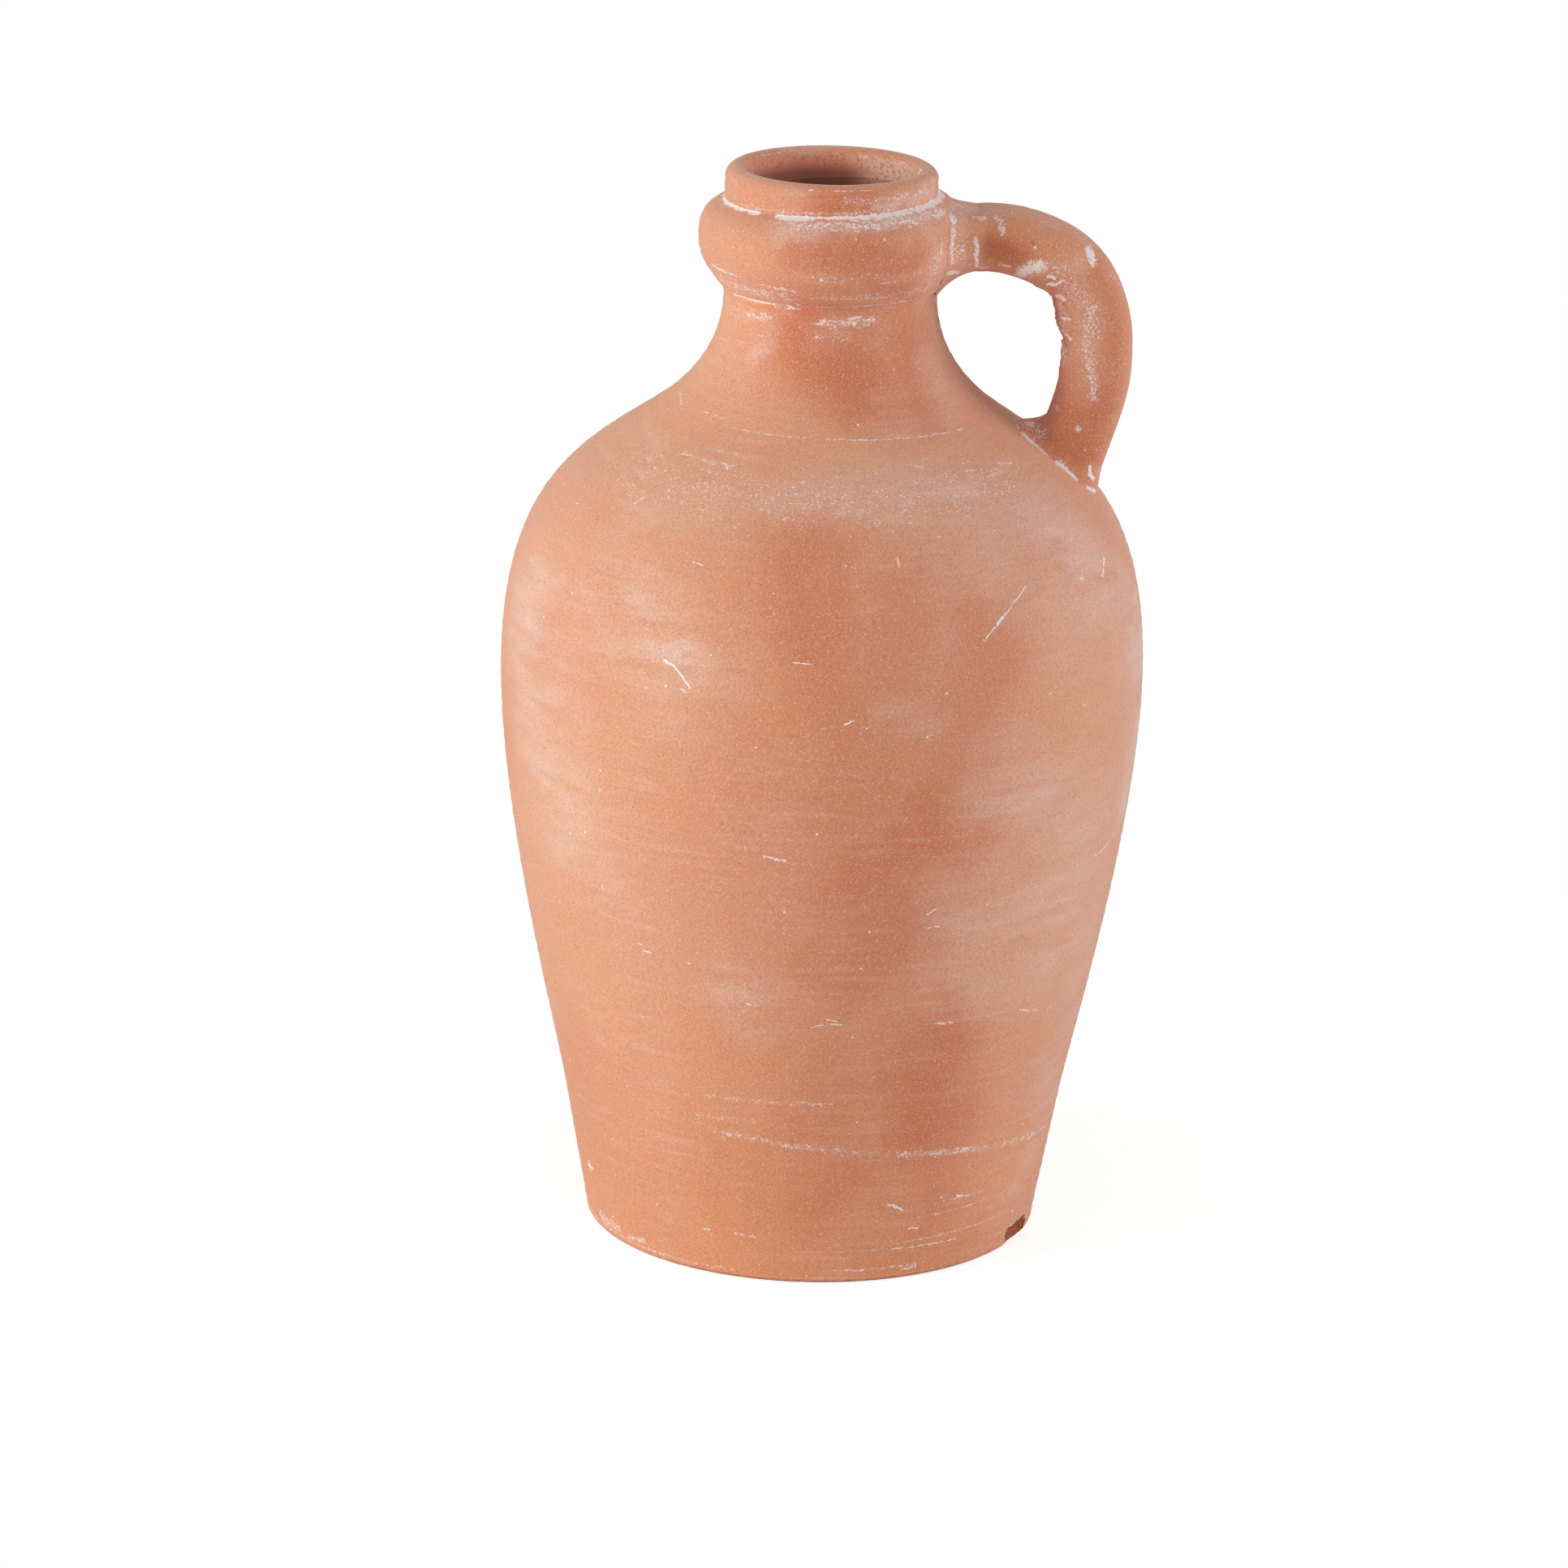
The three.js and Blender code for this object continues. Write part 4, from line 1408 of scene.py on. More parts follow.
    def lower_wad_rings(self, start: np.ndarray) -> list[np.ndarray]:
        """Gives the rings of the lower wad, spread a little and drawn out into a web towards the neck.

        Args:
            start: The strap's last ring.

        Returns:
            The rings after it.
        """
        downhill = np.array([self.foot_out[2], 0.0, -self.foot_out[0]])
        middle = start.mean(axis=0)
        away = (start - middle) @ downhill
        share_down = away / np.abs(away).max()
        share_side = start[:, 1] / np.abs(start[:, 1]).max()
        uphill = np.where(share_down < 0, self.web, self.foot_spread) * share_down
        across = np.array([0.0, 1.0, 0.0])
        spread = uphill[:, None] * downhill + (share_side * self.foot_spread)[:, None] * across
        target = self.hit(start + spread, self.foot_way)
        rings = []
        for step in range(1, self.wad_steps + 1):
            t = step / self.wad_steps
            rings.append(start * (1 - t) + target * t - spread * (t - t**self.web_fall))
        return rings

    def worked(self, flow: np.ndarray) -> np.ndarray:
        """Works the surface: pressed hollows, joint creases, and roughness along the inside of the bend.

        Args:
            flow: The smooth rings.

        Returns:
            The worked rings.
        """
        middles = flow.mean(axis=1, keepdims=True)
        out = flow - middles
        out /= np.linalg.norm(out, axis=2, keepdims=True)
        depth = np.zeros(flow.shape[:2])
        for press in self.presses:
            depth += press.taken(flow)
        rough = self.roughness(flow, middles)
        rows = np.arange(len(flow))[:, None]
        from_seats = np.minimum(rows, len(flow) - 1 - rows)
        held = eased(from_seats.astype(float), 0.0, self.held_rings)
        crease = self.crease_depth * np.exp(-(((rows - self.wad_steps) / self.crease_rings) ** 2))
        return flow - out * ((depth + rough) * held + crease)[..., None]

    def roughness(self, flow: np.ndarray, middles: np.ndarray) -> np.ndarray:
        """Gives the handle's own unevenness: lumpy and pitted inside the bend, smooth on the back.

        Args:
            flow: The smooth rings.
            middles: The middle of each ring.

        Returns:
            Depths in millimetres.
        """
        points = [Vector(p) for p in flow.reshape(-1, 3)]
        broad = np.array([noise.noise(p * 0.07) for p in points]).reshape(flow.shape[:2])
        small = np.array([noise.fractal(p * 0.34, 0.7, 2.1, 3) for p in points]).reshape(flow.shape[:2])
        knobs = [noise.noise(p * 0.14 + Vector((3.0, 8.0, 1.0))) for p in points]
        knobs = np.array(knobs).reshape(flow.shape[:2])
        from_hub = np.linalg.norm(flow[..., ::2] - self.bend_hub, axis=2)
        nearer = from_hub < np.linalg.norm(middles[..., ::2] - self.bend_hub, axis=2)
        off = np.linalg.norm((flow - middles)[..., ::2], axis=2) / self.half_thickness
        bend = eased(flow[..., 2], 300.0, 318.0) * eased(flow[..., 0], 66.0, 72.0)
        inside = nearer * eased(off, 0.35, 0.95) * bend
        inner = self.inner_knobs * knobs + self.inner_pits * small
        return self.hand_waves * broad + inside * inner + self.fine_pits * small

    def lump(self, name: str, first: int, last: int) -> tuple[Lump, np.ndarray]:
        """Cuts a closed lump out of the flow, from one ring to another.

        Args:
            name: Name of the piece.
            first: Index of its first ring.
            last: Index of its last ring.

        Returns:
            The lump, and the distance of each of its points from the nearest joint.
        """
        rings = self.flow[first:last + 1]
        points = [rings.reshape(-1, 3)]
        edges = [row * self.count for row in range(len(rings))]
        faces = []
        for here, there in zip(edges, edges[1:]):
            faces.extend(ring_faces(here, there, self.count))
        start = len(rings) * self.count
        for ring, edge in ((rings[0], edges[0]), (rings[-1], edges[-1])):
            cap = self.cap(ring, first == 0 and edge == 0)
            faces.extend(self.cap_faces(start, edge, edge > 0))
            points.append(cap)
            start += len(cap)
        points = np.concatenate(points)
        return Lump(name, points, faces), self.distance(points)

    def cap(self, ring: np.ndarray, on_collar: bool) -> np.ndarray:
        """Gives rings of points that close an end, drawn in to its middle. On the collar they follow it.

        Args:
            ring: The end's ring.
            on_collar: True for the end on the collar.

        Returns:
            Rows of x, y and z.
        """
        middle = ring.mean(axis=0)
        rows = []
        for share in self.cap_shares:
            row = middle + (ring - middle) * share
            if on_collar:
                row[:, 0] = self.on_collar(row)
            rows.append(row)
        return np.concatenate(rows)

    def cap_faces(self, start: int, edge: int, far: bool) -> Faces:
        """Gives the faces of a cap, between the edge ring and its own rings, and a last flat one.

        Args:
            start: Index of the cap's first point.
            edge: Index of the edge ring's first point.
            far: True for the end towards the shoulder.

        Returns:
            The faces.
        """
        starts = [edge, *(start + row * self.count for row in range(len(self.cap_shares)))]
        faces = []
        for here, there in zip(starts, starts[1:]):
            faces.extend(ring_faces(here, there, self.count))
        faces.append(tuple(range(starts[-1], starts[-1] + self.count)))
        return faces if far else [face[::-1] for face in faces]

    def distance(self, points: np.ndarray) -> np.ndarray:
        """Gives each point's distance from the nearest joint between the handle and the pot.

        Args:
            points: The points.

        Returns:
            Distances in millimetres, or a great one for points far from the handle.
        """
        corners = np.concatenate([self.flow[0], self.flow[-1]])
        found = np.full(len(points), self.far_off)
        near = np.where((points[:, ::2] > self.near_handle).all(axis=1))[0]
        for part in np.array_split(near, max(1, len(near) // self.points_at_once)):
            off = np.linalg.norm(points[part, None, :] - corners[None, :, :], axis=2)
            found[part] = off.min(axis=1)
        return found


@dataclass
class WallSection:
    """One thrown section: an outline turned round the axis. Its joints are plain where they don't show."""

    wall: Wall
    clay: FiredClay
    name: str = "section"
    slot: str = "clay"
    around: int = 360
    strokes: tuple[Stroke, ...] = ()
    rings: tuple[RingLine, ...] = ()
    joint_reach: float = 0.0
    fired: float = 0.0
    bands: tuple[float, ...] = ()

    def outline(self) -> tuple[np.ndarray, np.ndarray]:
        """Gives the outline's points, and for each one whether it is on the outside."""
        raise NotImplementedError

    def turned(self) -> tuple[Lump, dict[str, np.ndarray]]:
        """Turns the outline into a closed lump, and notes which of its points are on the outside.

        Returns:
            The lump, and the values that its clay reads.
        """
        outline, side = self.outline()
        turns = np.linspace(0, 2 * math.pi, self.around, endpoint=False)
        radius, azimuth = np.meshgrid(outline[:, 0], turns, indexing="ij")
        height = np.repeat(outline[:, 1:2], self.around, axis=1)
        outside = np.repeat(side[:, None], self.around, axis=1)
        points = self.wall.shaped(radius, azimuth, height, outside)
        starts = [row * self.around for row in range(len(outline))]
        faces = []
        for here, there in zip(starts, (*starts[1:], starts[0])):
            faces.extend(ring_faces(here, there, self.around))
        return Lump(self.name, points, faces), {"outside": (outside > 0).astype(float)}

    def clays(self) -> list[bpy.types.Material]:
        """Builds the section's clay, a material for each band with the marks that lie in it.

        Returns:
            The materials, from the ground up.
        """
        levels = self.outline()[0][:, 1]
        edges = (levels.min(), *self.bands, levels.max())
        made = []
        for low, high in zip(edges, edges[1:]):
            strokes = tuple(stroke for stroke in (*CLOUDS, *self.strokes) if stroke.within(low, high))
            rings = tuple(ring for ring in self.rings if ring.within(low, high))
            marking = Marking(self.wall, strokes, rings, self.joint_reach, self.fired)
            made.append(self.clay.material(f"{self.name}_clay", marking))
        return made

    def build(self, joints: PulledHandle) -> bpy.types.Object:
        """Builds, dresses and seats the section.

        Args:
            joints: The handle, whose joints carry lime onto this section.

        Returns:
            The section's object.
        """
        lump, values = self.turned()
        if self.joint_reach:
            values["joint"] = joints.distance(lump.points)
        made = lump.build(self.clays(), values, self.bands)
        seat(made, self.name, self.slot)
        return made


def joined(parts: Sequence[tuple[np.ndarray, Side]]) -> tuple[np.ndarray, np.ndarray]:
    """Joins stretches of an outline, dropping points that repeat.

    Args:
        parts: Stretches of points, each with its side.

    Returns:
        All the points, and a number for each that is 1 on the outside.
    """
    points = np.concatenate([p for p, _ in parts])
    side = np.concatenate([np.full(len(p), s.value) for p, s in parts])
    gaps = np.linalg.norm(points - np.roll(points, 1, axis=0), axis=1)
    keep = gaps > SAME_PLACE
    repeated = np.where(~keep)[0]
    before = (repeated - 1) % len(side)
    side[before] = np.maximum(side[before], side[repeated])
    return points[keep], side[keep]


@dataclass
class FootSection(WallSection):
    """The floor and the low wall, standing on a flat ring round a shallow hollow, with a chipped edge."""

    name: str = "foot_section"
    slot: str = "foot_clay"
    floor: float = 11.0
    floor_fillet: float = 14.0
    hollow_radius: float = 58.0
    hollow_depth: float = 2.5
    hollow_slope: float = 1.6
    chip_azimuth: float = 66.6
    chip_size: Triple = (2.0, 10.6, 8.4)
    chip_rings: int = 40
    chip_around: int = 64
    chip_squareness: float = 0.86
    chip_roughness: float = 0.24
    chip_lumps: float = 2.1
    raw: RawClay = field(default_factory=RawClay)
    rings: tuple[RingLine, ...] = (
        *LOW_RING,
        RingLine(12.4, 0.55, 18, 42, slope=-0.02, kind=Mark.SCRATCH, strength=0.85, fade=5),
        RingLine(12.3, 0.6, -6, 22, strength=0.95),
        RingLine(13.6, 0.9, 16, 58, slope=0.03, strength=0.95),
        RingLine(4.8, 0.9, 0, 34, strength=1.05),
        RingLine(22.5, 1, 20, 75, slope=0.03, strength=0.85),
        RingLine(28, 1, 27, 48, strength=0.95),
        RingLine(5.2, 4.4, -68, -55, strength=1.15, fade=2),
        RingLine(2.8, 1.2, -200, -12, strength=0.95, fade=14),
        # Painted shade: a dark line along the underside's rounded edge, where it meets the floor.
        RingLine(0, 1.6, kind=Mark.SHADE_AND_DARK_MARK, strength=1.2),
        RingLine(4.7, 0.9, 90, 170, strength=1, fade=14),
        RingLine(12.3, 0.7, 120, 175, strength=1, fade=14),
        RingLine(17.5, 0.9, -150, -95, strength=0.95, fade=14),
    )
    strokes: tuple[Stroke, ...] = (
        scratch(1.7, 1, (-68.9, 24.8), (-68.2, 21.8)), scratch(1.5, 1, (-70.2, 23.2), (-66.8, 23.4)),
        scratch(1.1, 1, (18.9, 30), (20.6, 29), (22.6, 27.4)), scratch(0.9, 1, (24.9, 19.5), (27.4, 19.3)),
        scratch(0.9, 1, (37.4, 29), (41.1, 28)), smear(1.3, 1.5, (33, 30)),
        scratch(0.8, 1, (-26.4, 16.9), (-24.6, 17.5)), smear(1, 1.2, (-18, 17.4), (-13, 16.8)),
        smear(2, 1.4, (61.3, 13.2)), smear(1.2, 1.5, (24, 3.4), (28, 3.9)),
        smear(2.4, 1.15, (-46, 5.6), (-52, 4)),
    )

    def outline(self) -> tuple[np.ndarray, np.ndarray]:
        """Gives the outline from the middle of the underside, out, up the wall and back over the floor.

        Returns:
            The points, and for each a number that is 1 on the outside.
        """
        s = self.wall.sizes
        hollow_end = (self.hollow_radius - self.hollow_depth * self.hollow_slope, self.hollow_depth)
        edge = s.foot_radius - s.foot_edge
        seam, seam_inside = s.low_seam(0.0), s.low_seam(s.wall)
        fillet_middle = (s.foot_radius - s.wall - self.floor_fillet, self.floor + self.floor_fillet)
        fillet_top = (s.foot_radius - s.wall, fillet_middle[1])
        return joined([
            (line((ON_AXIS, self.hollow_depth), hollow_end, 12), Side.HIDDEN),
            (line(hollow_end, (self.hollow_radius, 0.0)), Side.HIDDEN),
            (line((self.hollow_radius, 0.0), (edge, 0.0), 12), Side.HIDDEN),
            (arc((edge, s.foot_edge), s.foot_edge, -90, 0, 7), Side.RIM),
            (self.wall.foot_line.run(40), Side.OUTSIDE),
            (line(seam, seam_inside), Side.HIDDEN),
            (line(seam_inside, fillet_top, 8), Side.HIDDEN),
            (arc(fillet_middle, self.floor_fillet, 0, -90, 8), Side.HIDDEN),
            (line((fillet_middle[0], self.floor), (ON_AXIS, self.floor), 12), Side.HIDDEN),
        ])

    def build(self, joints: PulledHandle) -> bpy.types.Object:
        """Builds the section, then breaks the chip out of its edge.

        Args:
            joints: The handle, whose joints don't reach this section; not used.

        Returns:
            The section's object.
        """
        lump, values = self.turned()
        made = lump.build(self.clays(), values)
        self.break_edge(made)
        seat(made, self.name, self.slot)
        return made

    def break_edge(self, foot: bpy.types.Object) -> None:
        """Cuts the chip out of the foot with a rough scoop, whose clay is raw.

        Args:
            foot: The whole foot section.
        """
        raw = self.raw.material("broken_clay")
        foot.data.materials.append(raw)
        scoop = self.scoop(raw)
        cut = foot.modifiers.new("chip", "BOOLEAN")
        cut.operation = "DIFFERENCE"
        cut.solver = "EXACT"
        cut.material_mode = "TRANSFER"
        cut.object = scoop
        whole = foot.data
        foot.data = bpy.data.meshes.new_from_object(foot.evaluated_get(bpy.context.evaluated_depsgraph_get()))
        foot.data.name = self.name
        foot.modifiers.clear()
        foot.data.set_sharp_from_angle(angle=Lump.sharp_angle)
        bpy.data.meshes.remove(whole)
        bpy.data.objects.remove(scoop)

    def scoop(self, raw: bpy.types.Material) -> bpy.types.Object:
        """Makes the rough lump that the chip leaves behind: a ball pushed about by noise.

        Args:
            raw: The raw clay.

        Returns:
            The lump's object.
        """
        rows, count = self.chip_rings, self.chip_around
        tilt = np.linspace(0.02, math.pi - 0.02, rows)
        spin = np.linspace(0, 2 * math.pi, count, endpoint=False)
        tilt, spin = np.meshgrid(tilt, spin, indexing="ij")
        ball = np.stack([np.sin(tilt) * np.cos(spin), np.sin(tilt) * np.sin(spin), np.cos(tilt)], axis=-1)
        boxy = np.sign(ball) * np.abs(ball) ** self.chip_squareness
        apart = Vector((4.0, 1.0, 7.0))
        lumps = [noise.fractal(Vector(p) * self.chip_lumps + apart, 0.6, 2.2, 4) for p in ball.reshape(-1, 3)]
        lumps = np.array(lumps).reshape(rows, count, 1)
        shape = boxy * (1 + self.chip_roughness * lumps) * np.array(self.chip_size)
        turn = math.radians(self.chip_azimuth)
        out = np.array([math.sin(turn), -math.cos(turn), 0.0])
        across = np.array([math.cos(turn), math.sin(turn), 0.0])
        points = (shape[..., 0:1] + self.wall.sizes.foot_radius) * out + shape[..., 1:2] * across
        points[..., 2] += shape[..., 2]
        starts = [row * count for row in range(rows)]
        faces = [face for here, there in zip(starts, starts[1:]) for face in ring_faces(here, there, count)]
        faces.append(tuple(range(count - 1, -1, -1)))
        faces.append(tuple(range((rows - 1) * count, rows * count)))
        return Lump("scoop", points, faces).build([raw])


@dataclass
class BodyWall(WallSection):
    """The belly and the shoulder, open at both ends."""

    name: str = "body_wall"
    slot: str = "body_clay"
    joint_reach: float = 1.5
    bands: tuple[float, ...] = (90.0, 130.0, 175.0, 215.0, 255.0)
    rings: tuple[RingLine, ...] = (
        *LOW_RING,
        RingLine(295.1, 0.45, -56, 56, slope=-0.016, kind=Mark.SCRATCH, strength=0.7, fade=4),
        RingLine(294.9, 0.8, -180, -110, strength=1, fade=20),
        RingLine(279, 17, -70, 70, strength=0.72, fade=20),
        RingLine(70.6, 2, -28, 8, strength=0.85),
        RingLine(62, 2.6, -34, -8, strength=0.75),
        RingLine(47, 1.6, 120, 178, strength=1.1, fade=16),
        RingLine(68, 1.6, -170, -120, slope=0.05, strength=1.1, fade=16),
        RingLine(281, 12, 100, 260, strength=0.8, fade=14),
    )
    strokes: tuple[Stroke, ...] = (
        scratch(0.75, 1, (-47.5, 272.1), (-46.2, 274.4)),
        scratch(1, 1.15, (-28.6, 227.8), (-26.8, 226.8), (-25.1, 224), (-23.4, 220.2)),
        scratch(1.5, 0.8, (-28, 219.6)), scratch(0.8, 1, (-25, 219.4), (-23.8, 218.6)),
        scratch(0.68, 0.95, (30, 236.6), (34, 242.1), (37.4, 246.5), (41.4, 251.2)),
        scratch(1.2, 1, (33.2, 241.2), (35.4, 244)), scratch(1.05, 1.15, (68.2, 251), (65, 246.6)),
        scratch(0.6, 1, (-4.8, 231.9), (-1.6, 231.5)),
        scratch(0.6, 1, (62.4, 148), (66, 148.2), (72.5, 151.5)),
        scratch(0.5, 1, (-14.3, 108.2), (-10.7, 107.6)), scratch(0.5, 1, (-0.4, 100.5), (1.9, 101.3)),
        scratch(0.5, 1, (2.6, 103.4), (4.5, 103)), scratch(0.55, 1, (3.4, 101.8), (5.6, 101.8)),
        smear(1, 1.3, (24.5, 99.9), (28.9, 99.1)), scratch(0.5, 1, (46, 98), (52.4, 95.4)),
        scratch(0.55, 1, (22.4, 143.6), (20.6, 142)), scratch(0.5, 1, (20.6, 137.2), (23.2, 136.8)),
        scratch(1.3, 1, (9.8, 136.7)), scratch(0.8, 1, (39, 150)),
        scratch(0.5, 1, (-36.2, 124.3), (-34.9, 124.2)), scratch(0.6, 1, (-34.6, 121.9), (-32.9, 121.6)),
        scratch(0.45, 1, (-43.2, 142.5), (-43, 139.6)), scratch(0.8, 1, (-57.8, 129.3)),
        scratch(0.9, 1, (-59, 115)), smear(1.1, 1.4, (-9.4, 163.6), (-5.6, 162.6)),
        scratch(0.45, 0.7, (-13, 171), (-12.8, 165)), scratch(1.1, 1, (18.7, 206.5)),
        scratch(0.6, 1, (19.6, 208.2)), scratch(0.7, 1, (4.2, 211.6), (5.6, 212.9)),
        scratch(1.3, 1, (57, 248.8)), scratch(0.7, 1, (58.6, 250.6), (57.6, 248)),
        scratch(0.9, 1, (-53, 241.8)), scratch(0.9, 1, (-41.4, 241.7)),
        scratch(0.6, 1, (-26.6, 259.9), (-24.4, 259.4)), scratch(0.5, 1, (15, 264.2), (14.9, 261.2)),
        scratch(0.7, 1, (4.3, 262.1)), scratch(0.8, 1, (38.8, 268.8)),
        scratch(0.7, 1, (58.1, 268.6)), scratch(0.7, 1, (44, 214.8)),
        smear(0.6, 0.9, (-62.5, 258), (-58, 256.6)), scratch(0.8, 1, (128, 176), (134, 184), (137, 190)),
        scratch(0.9, 1, (-150, 140), (-146, 139.2)), scratch(0.9, 1, (168, 82), (171, 90)),
        scratch(0.9, 1, (-118, 72), (-114, 72.6)), scratch(1, 1, (-164, 232), (-160, 226), (-158.5, 219)),
        scratch(0.9, 1, (-120, 214), (-117, 213.4)), scratch(1.2, 1, (146, 243)),
        scratch(0.9, 1, (152, 272), (156, 266)), smear(2.6, 0.95, (-46, 286.8), (-36, 286.2), (-27, 286.3)),
        smear(2, 0.82, (-38.6, 289.4), (-24, 289)), smear(1.1, 1.4, (-30, 286.4), (-28.4, 285.4)),
        smear(1.7, 1, (24, 288.2), (31, 286.2)), smear(2.8, 0.95, (27.6, 283.4), (41, 281.4), (52, 282.2)),
        smear(1.2, 1.35, (41.6, 284.6), (44.4, 284.2)), smear(2, 0.95, (30.6, 279), (42, 278.4)),
        smear(0.9, 1.6, (54.6, 284.4), (59.8, 283.4)), smear(1.8, 0.9, (-41, 275.4), (-24, 273.4)),
        smear(2.1, 0.88, (-31, 277.6), (-12, 280.4), (-2, 280.8)), smear(3.4, 0.68, (-26, 284), (6, 283)),
    )

    def outline(self) -> tuple[np.ndarray, np.ndarray]:
        """Gives the outline up the outside, across the upper joint and down the inside.

        Returns:
            The points, and for each a number that is 1 on the outside.
        """
        s, w = self.wall.sizes, self.wall
        low_inside = s.low_seam(s.wall)
        return joined([
            (w.belly.run(104), Side.OUTSIDE),
            (w.shoulder.run(84), Side.OUTSIDE),
            (line(w.shoulder.end, w.shoulder.run(1, s.wall)[-1]), Side.HIDDEN),
            (w.shoulder.run(20, s.wall)[::-1], Side.HIDDEN),
            (np.concatenate([w.belly.run(18, s.wall)[:0:-1], [low_inside]]), Side.HIDDEN),
            (line(low_inside, w.belly.start), Side.HIDDEN),
        ])


@dataclass
class NeckSection(WallSection):
    """The neck, waisted below the collar."""

    name: str = "neck_section"
    slot: str = "neck_clay"
    around: int = 300
    joint_reach: float = 1.3
    rings: tuple[RingLine, ...] = (
        RingLine(296.3, 0.45, -60, -40, slope=-0.03, kind=Mark.SCRATCH, strength=0.65, fade=4),
        RingLine(330.2, 3.6, -52, -28, strength=1.1),
        RingLine(330.4, 4, -10, 28, slope=0.05, strength=1.08),
        RingLine(324, 4.6, -46, -30, strength=0.8),
        RingLine(326, 4, -14, 14, strength=0.8),
        RingLine(331, 2.8, 100, 170, strength=1.05, fade=16),
        RingLine(329.5, 2.8, -165, -105, strength=1.05, fade=16),
    )
    strokes: tuple[Stroke, ...] = (
        smear(1.3, 1.6, (10.6, 332), (16.4, 332.9)), smear(1.6, 0.9, (-78, 299), (-68, 297)),
    )

    def outline(self) -> tuple[np.ndarray, np.ndarray]:
        """Gives the outline up the outside, across the crease joint and down the inside.

        Returns:
            The points, and for each a number that is 1 on the outside.
        """
        s, w = self.wall.sizes, self.wall
        return joined([
            (w.neck.run(44), Side.OUTSIDE),
            (line(w.neck.end, (s.neck_radius - s.wall, s.crease)), Side.HIDDEN),
            (w.neck.run(14, s.wall)[:0:-1], Side.HIDDEN),
            (line(w.shoulder.run(1, s.wall)[-1], w.neck.start), Side.HIDDEN),
        ])


@dataclass
class CollarRing(WallSection):
    """The swollen ring round the top of the neck, which the handle springs from."""

    name: str = "collar_ring"
    slot: str = "collar_clay"
    around: int = 320
    fired: float = 0.12
    hollow: float = 12.5
    rings: tuple[RingLine, ...] = (
        RingLine(366.8, 0.9, -32, 18, sway=1.45, kind=Mark.SCRATCH, strength=1.08, fade=2.5),
        RingLine(366.2, 1.2, -29, -11, sway=0.6, kind=Mark.SCRATCH, strength=1, fade=4),
        RingLine(366.6, 1.2, 8, 200, sway=1.3, kind=Mark.SCRATCH, strength=1.12, fade=4),
        RingLine(366.9, 1.1, -190, -41, sway=1.45, kind=Mark.SCRATCH, strength=1.1, fade=2),
        RingLine(364.9, 3.4, -32, 72, sway=0.9, strength=1.12, fade=10),
        RingLine(364, 2.6, 100, 200, sway=1.45, strength=1.1, fade=14),
        RingLine(342.4, 1, -68, -44, slope=-0.05, strength=1.4, fade=6),
        RingLine(341.4, 1.6, -37, -13, slope=-0.05, strength=1.2, fade=6),
        RingLine(340, 0.9, -12, 34, strength=1, fade=8),
        RingLine(344.2, 1, 18, 36, slope=0.06, strength=1.15, fade=6),
        RingLine(335.9, 1, -66, -16, slope=0.01, strength=1.35, fade=8),
        RingLine(336.4, 0.7, -14, 60, slope=0.012, strength=1.05, fade=8),
        RingLine(334.8, 1.2, -32, -14, strength=1.1, fade=6),
        RingLine(341.2, 1, 95, 200, strength=1.1, fade=16),
        RingLine(335.8, 0.9, -200, -90, strength=1.15, fade=16),
        RingLine(348, 4, -20, 74, strength=0.7, fade=14),
        RingLine(338.4, 5, -72, -14, slope=-0.04, strength=0.95, fade=10),
        RingLine(341, 4, -10, 66, strength=0.72, fade=10),
    )
    strokes: tuple[Stroke, ...] = (
        scratch(0.9, 1, (11, 361)), smear(1.1, 1.5, (24, 360.4)),
        smear(1.4, 1.5, (-4.1, 347.4)), smear(1.2, 1.5, (54.5, 353.4), (56, 356)),
        smear(1.3, 1.6, (-17.6, 336.9), (-15, 336.5)), smear(2, 1.6, (84.4, 363.6), (72.8, 361.1)),
        smear(0.9, 1.3, (72.8, 361.1), (64.4, 356.1), (64, 350.3)), smear(2.2, 1.6, (64.8, 345.9)),
        smear(9, 0.85, (50, 352), (52, 342)),
    )

    def outline(self) -> tuple[np.ndarray, np.ndarray]:
        """Gives the outline up the outside, over the ledge to the groove, and down the hollowed inside.

        Returns:
            The points, and for each a number that is 1 on the outside.
        """
        s, w = self.wall.sizes, self.wall
        low, high = (s.neck_radius - s.wall, s.crease), (s.mouth_radius, s.groove)
        widest = s.collar_radius - self.hollow
        pull = np.array([2 * widest - (low[0] + high[0]) / 2, (low[1] + high[1]) / 2])
        inside = Curve(low, *(tuple(np.array(end) + (pull - end) * 2 / 3) for end in (low, high)), high)
        return joined([
            (w.collar_flare.run(30), Side.OUTSIDE),
            (w.collar_shoulder.run(40), Side.OUTSIDE),
            (line((s.lip_radius, s.groove), high), Side.HIDDEN),
            (inside.run(18)[::-1], Side.HIDDEN),
            (line(low, (s.neck_radius, s.crease)), Side.HIDDEN),
        ])


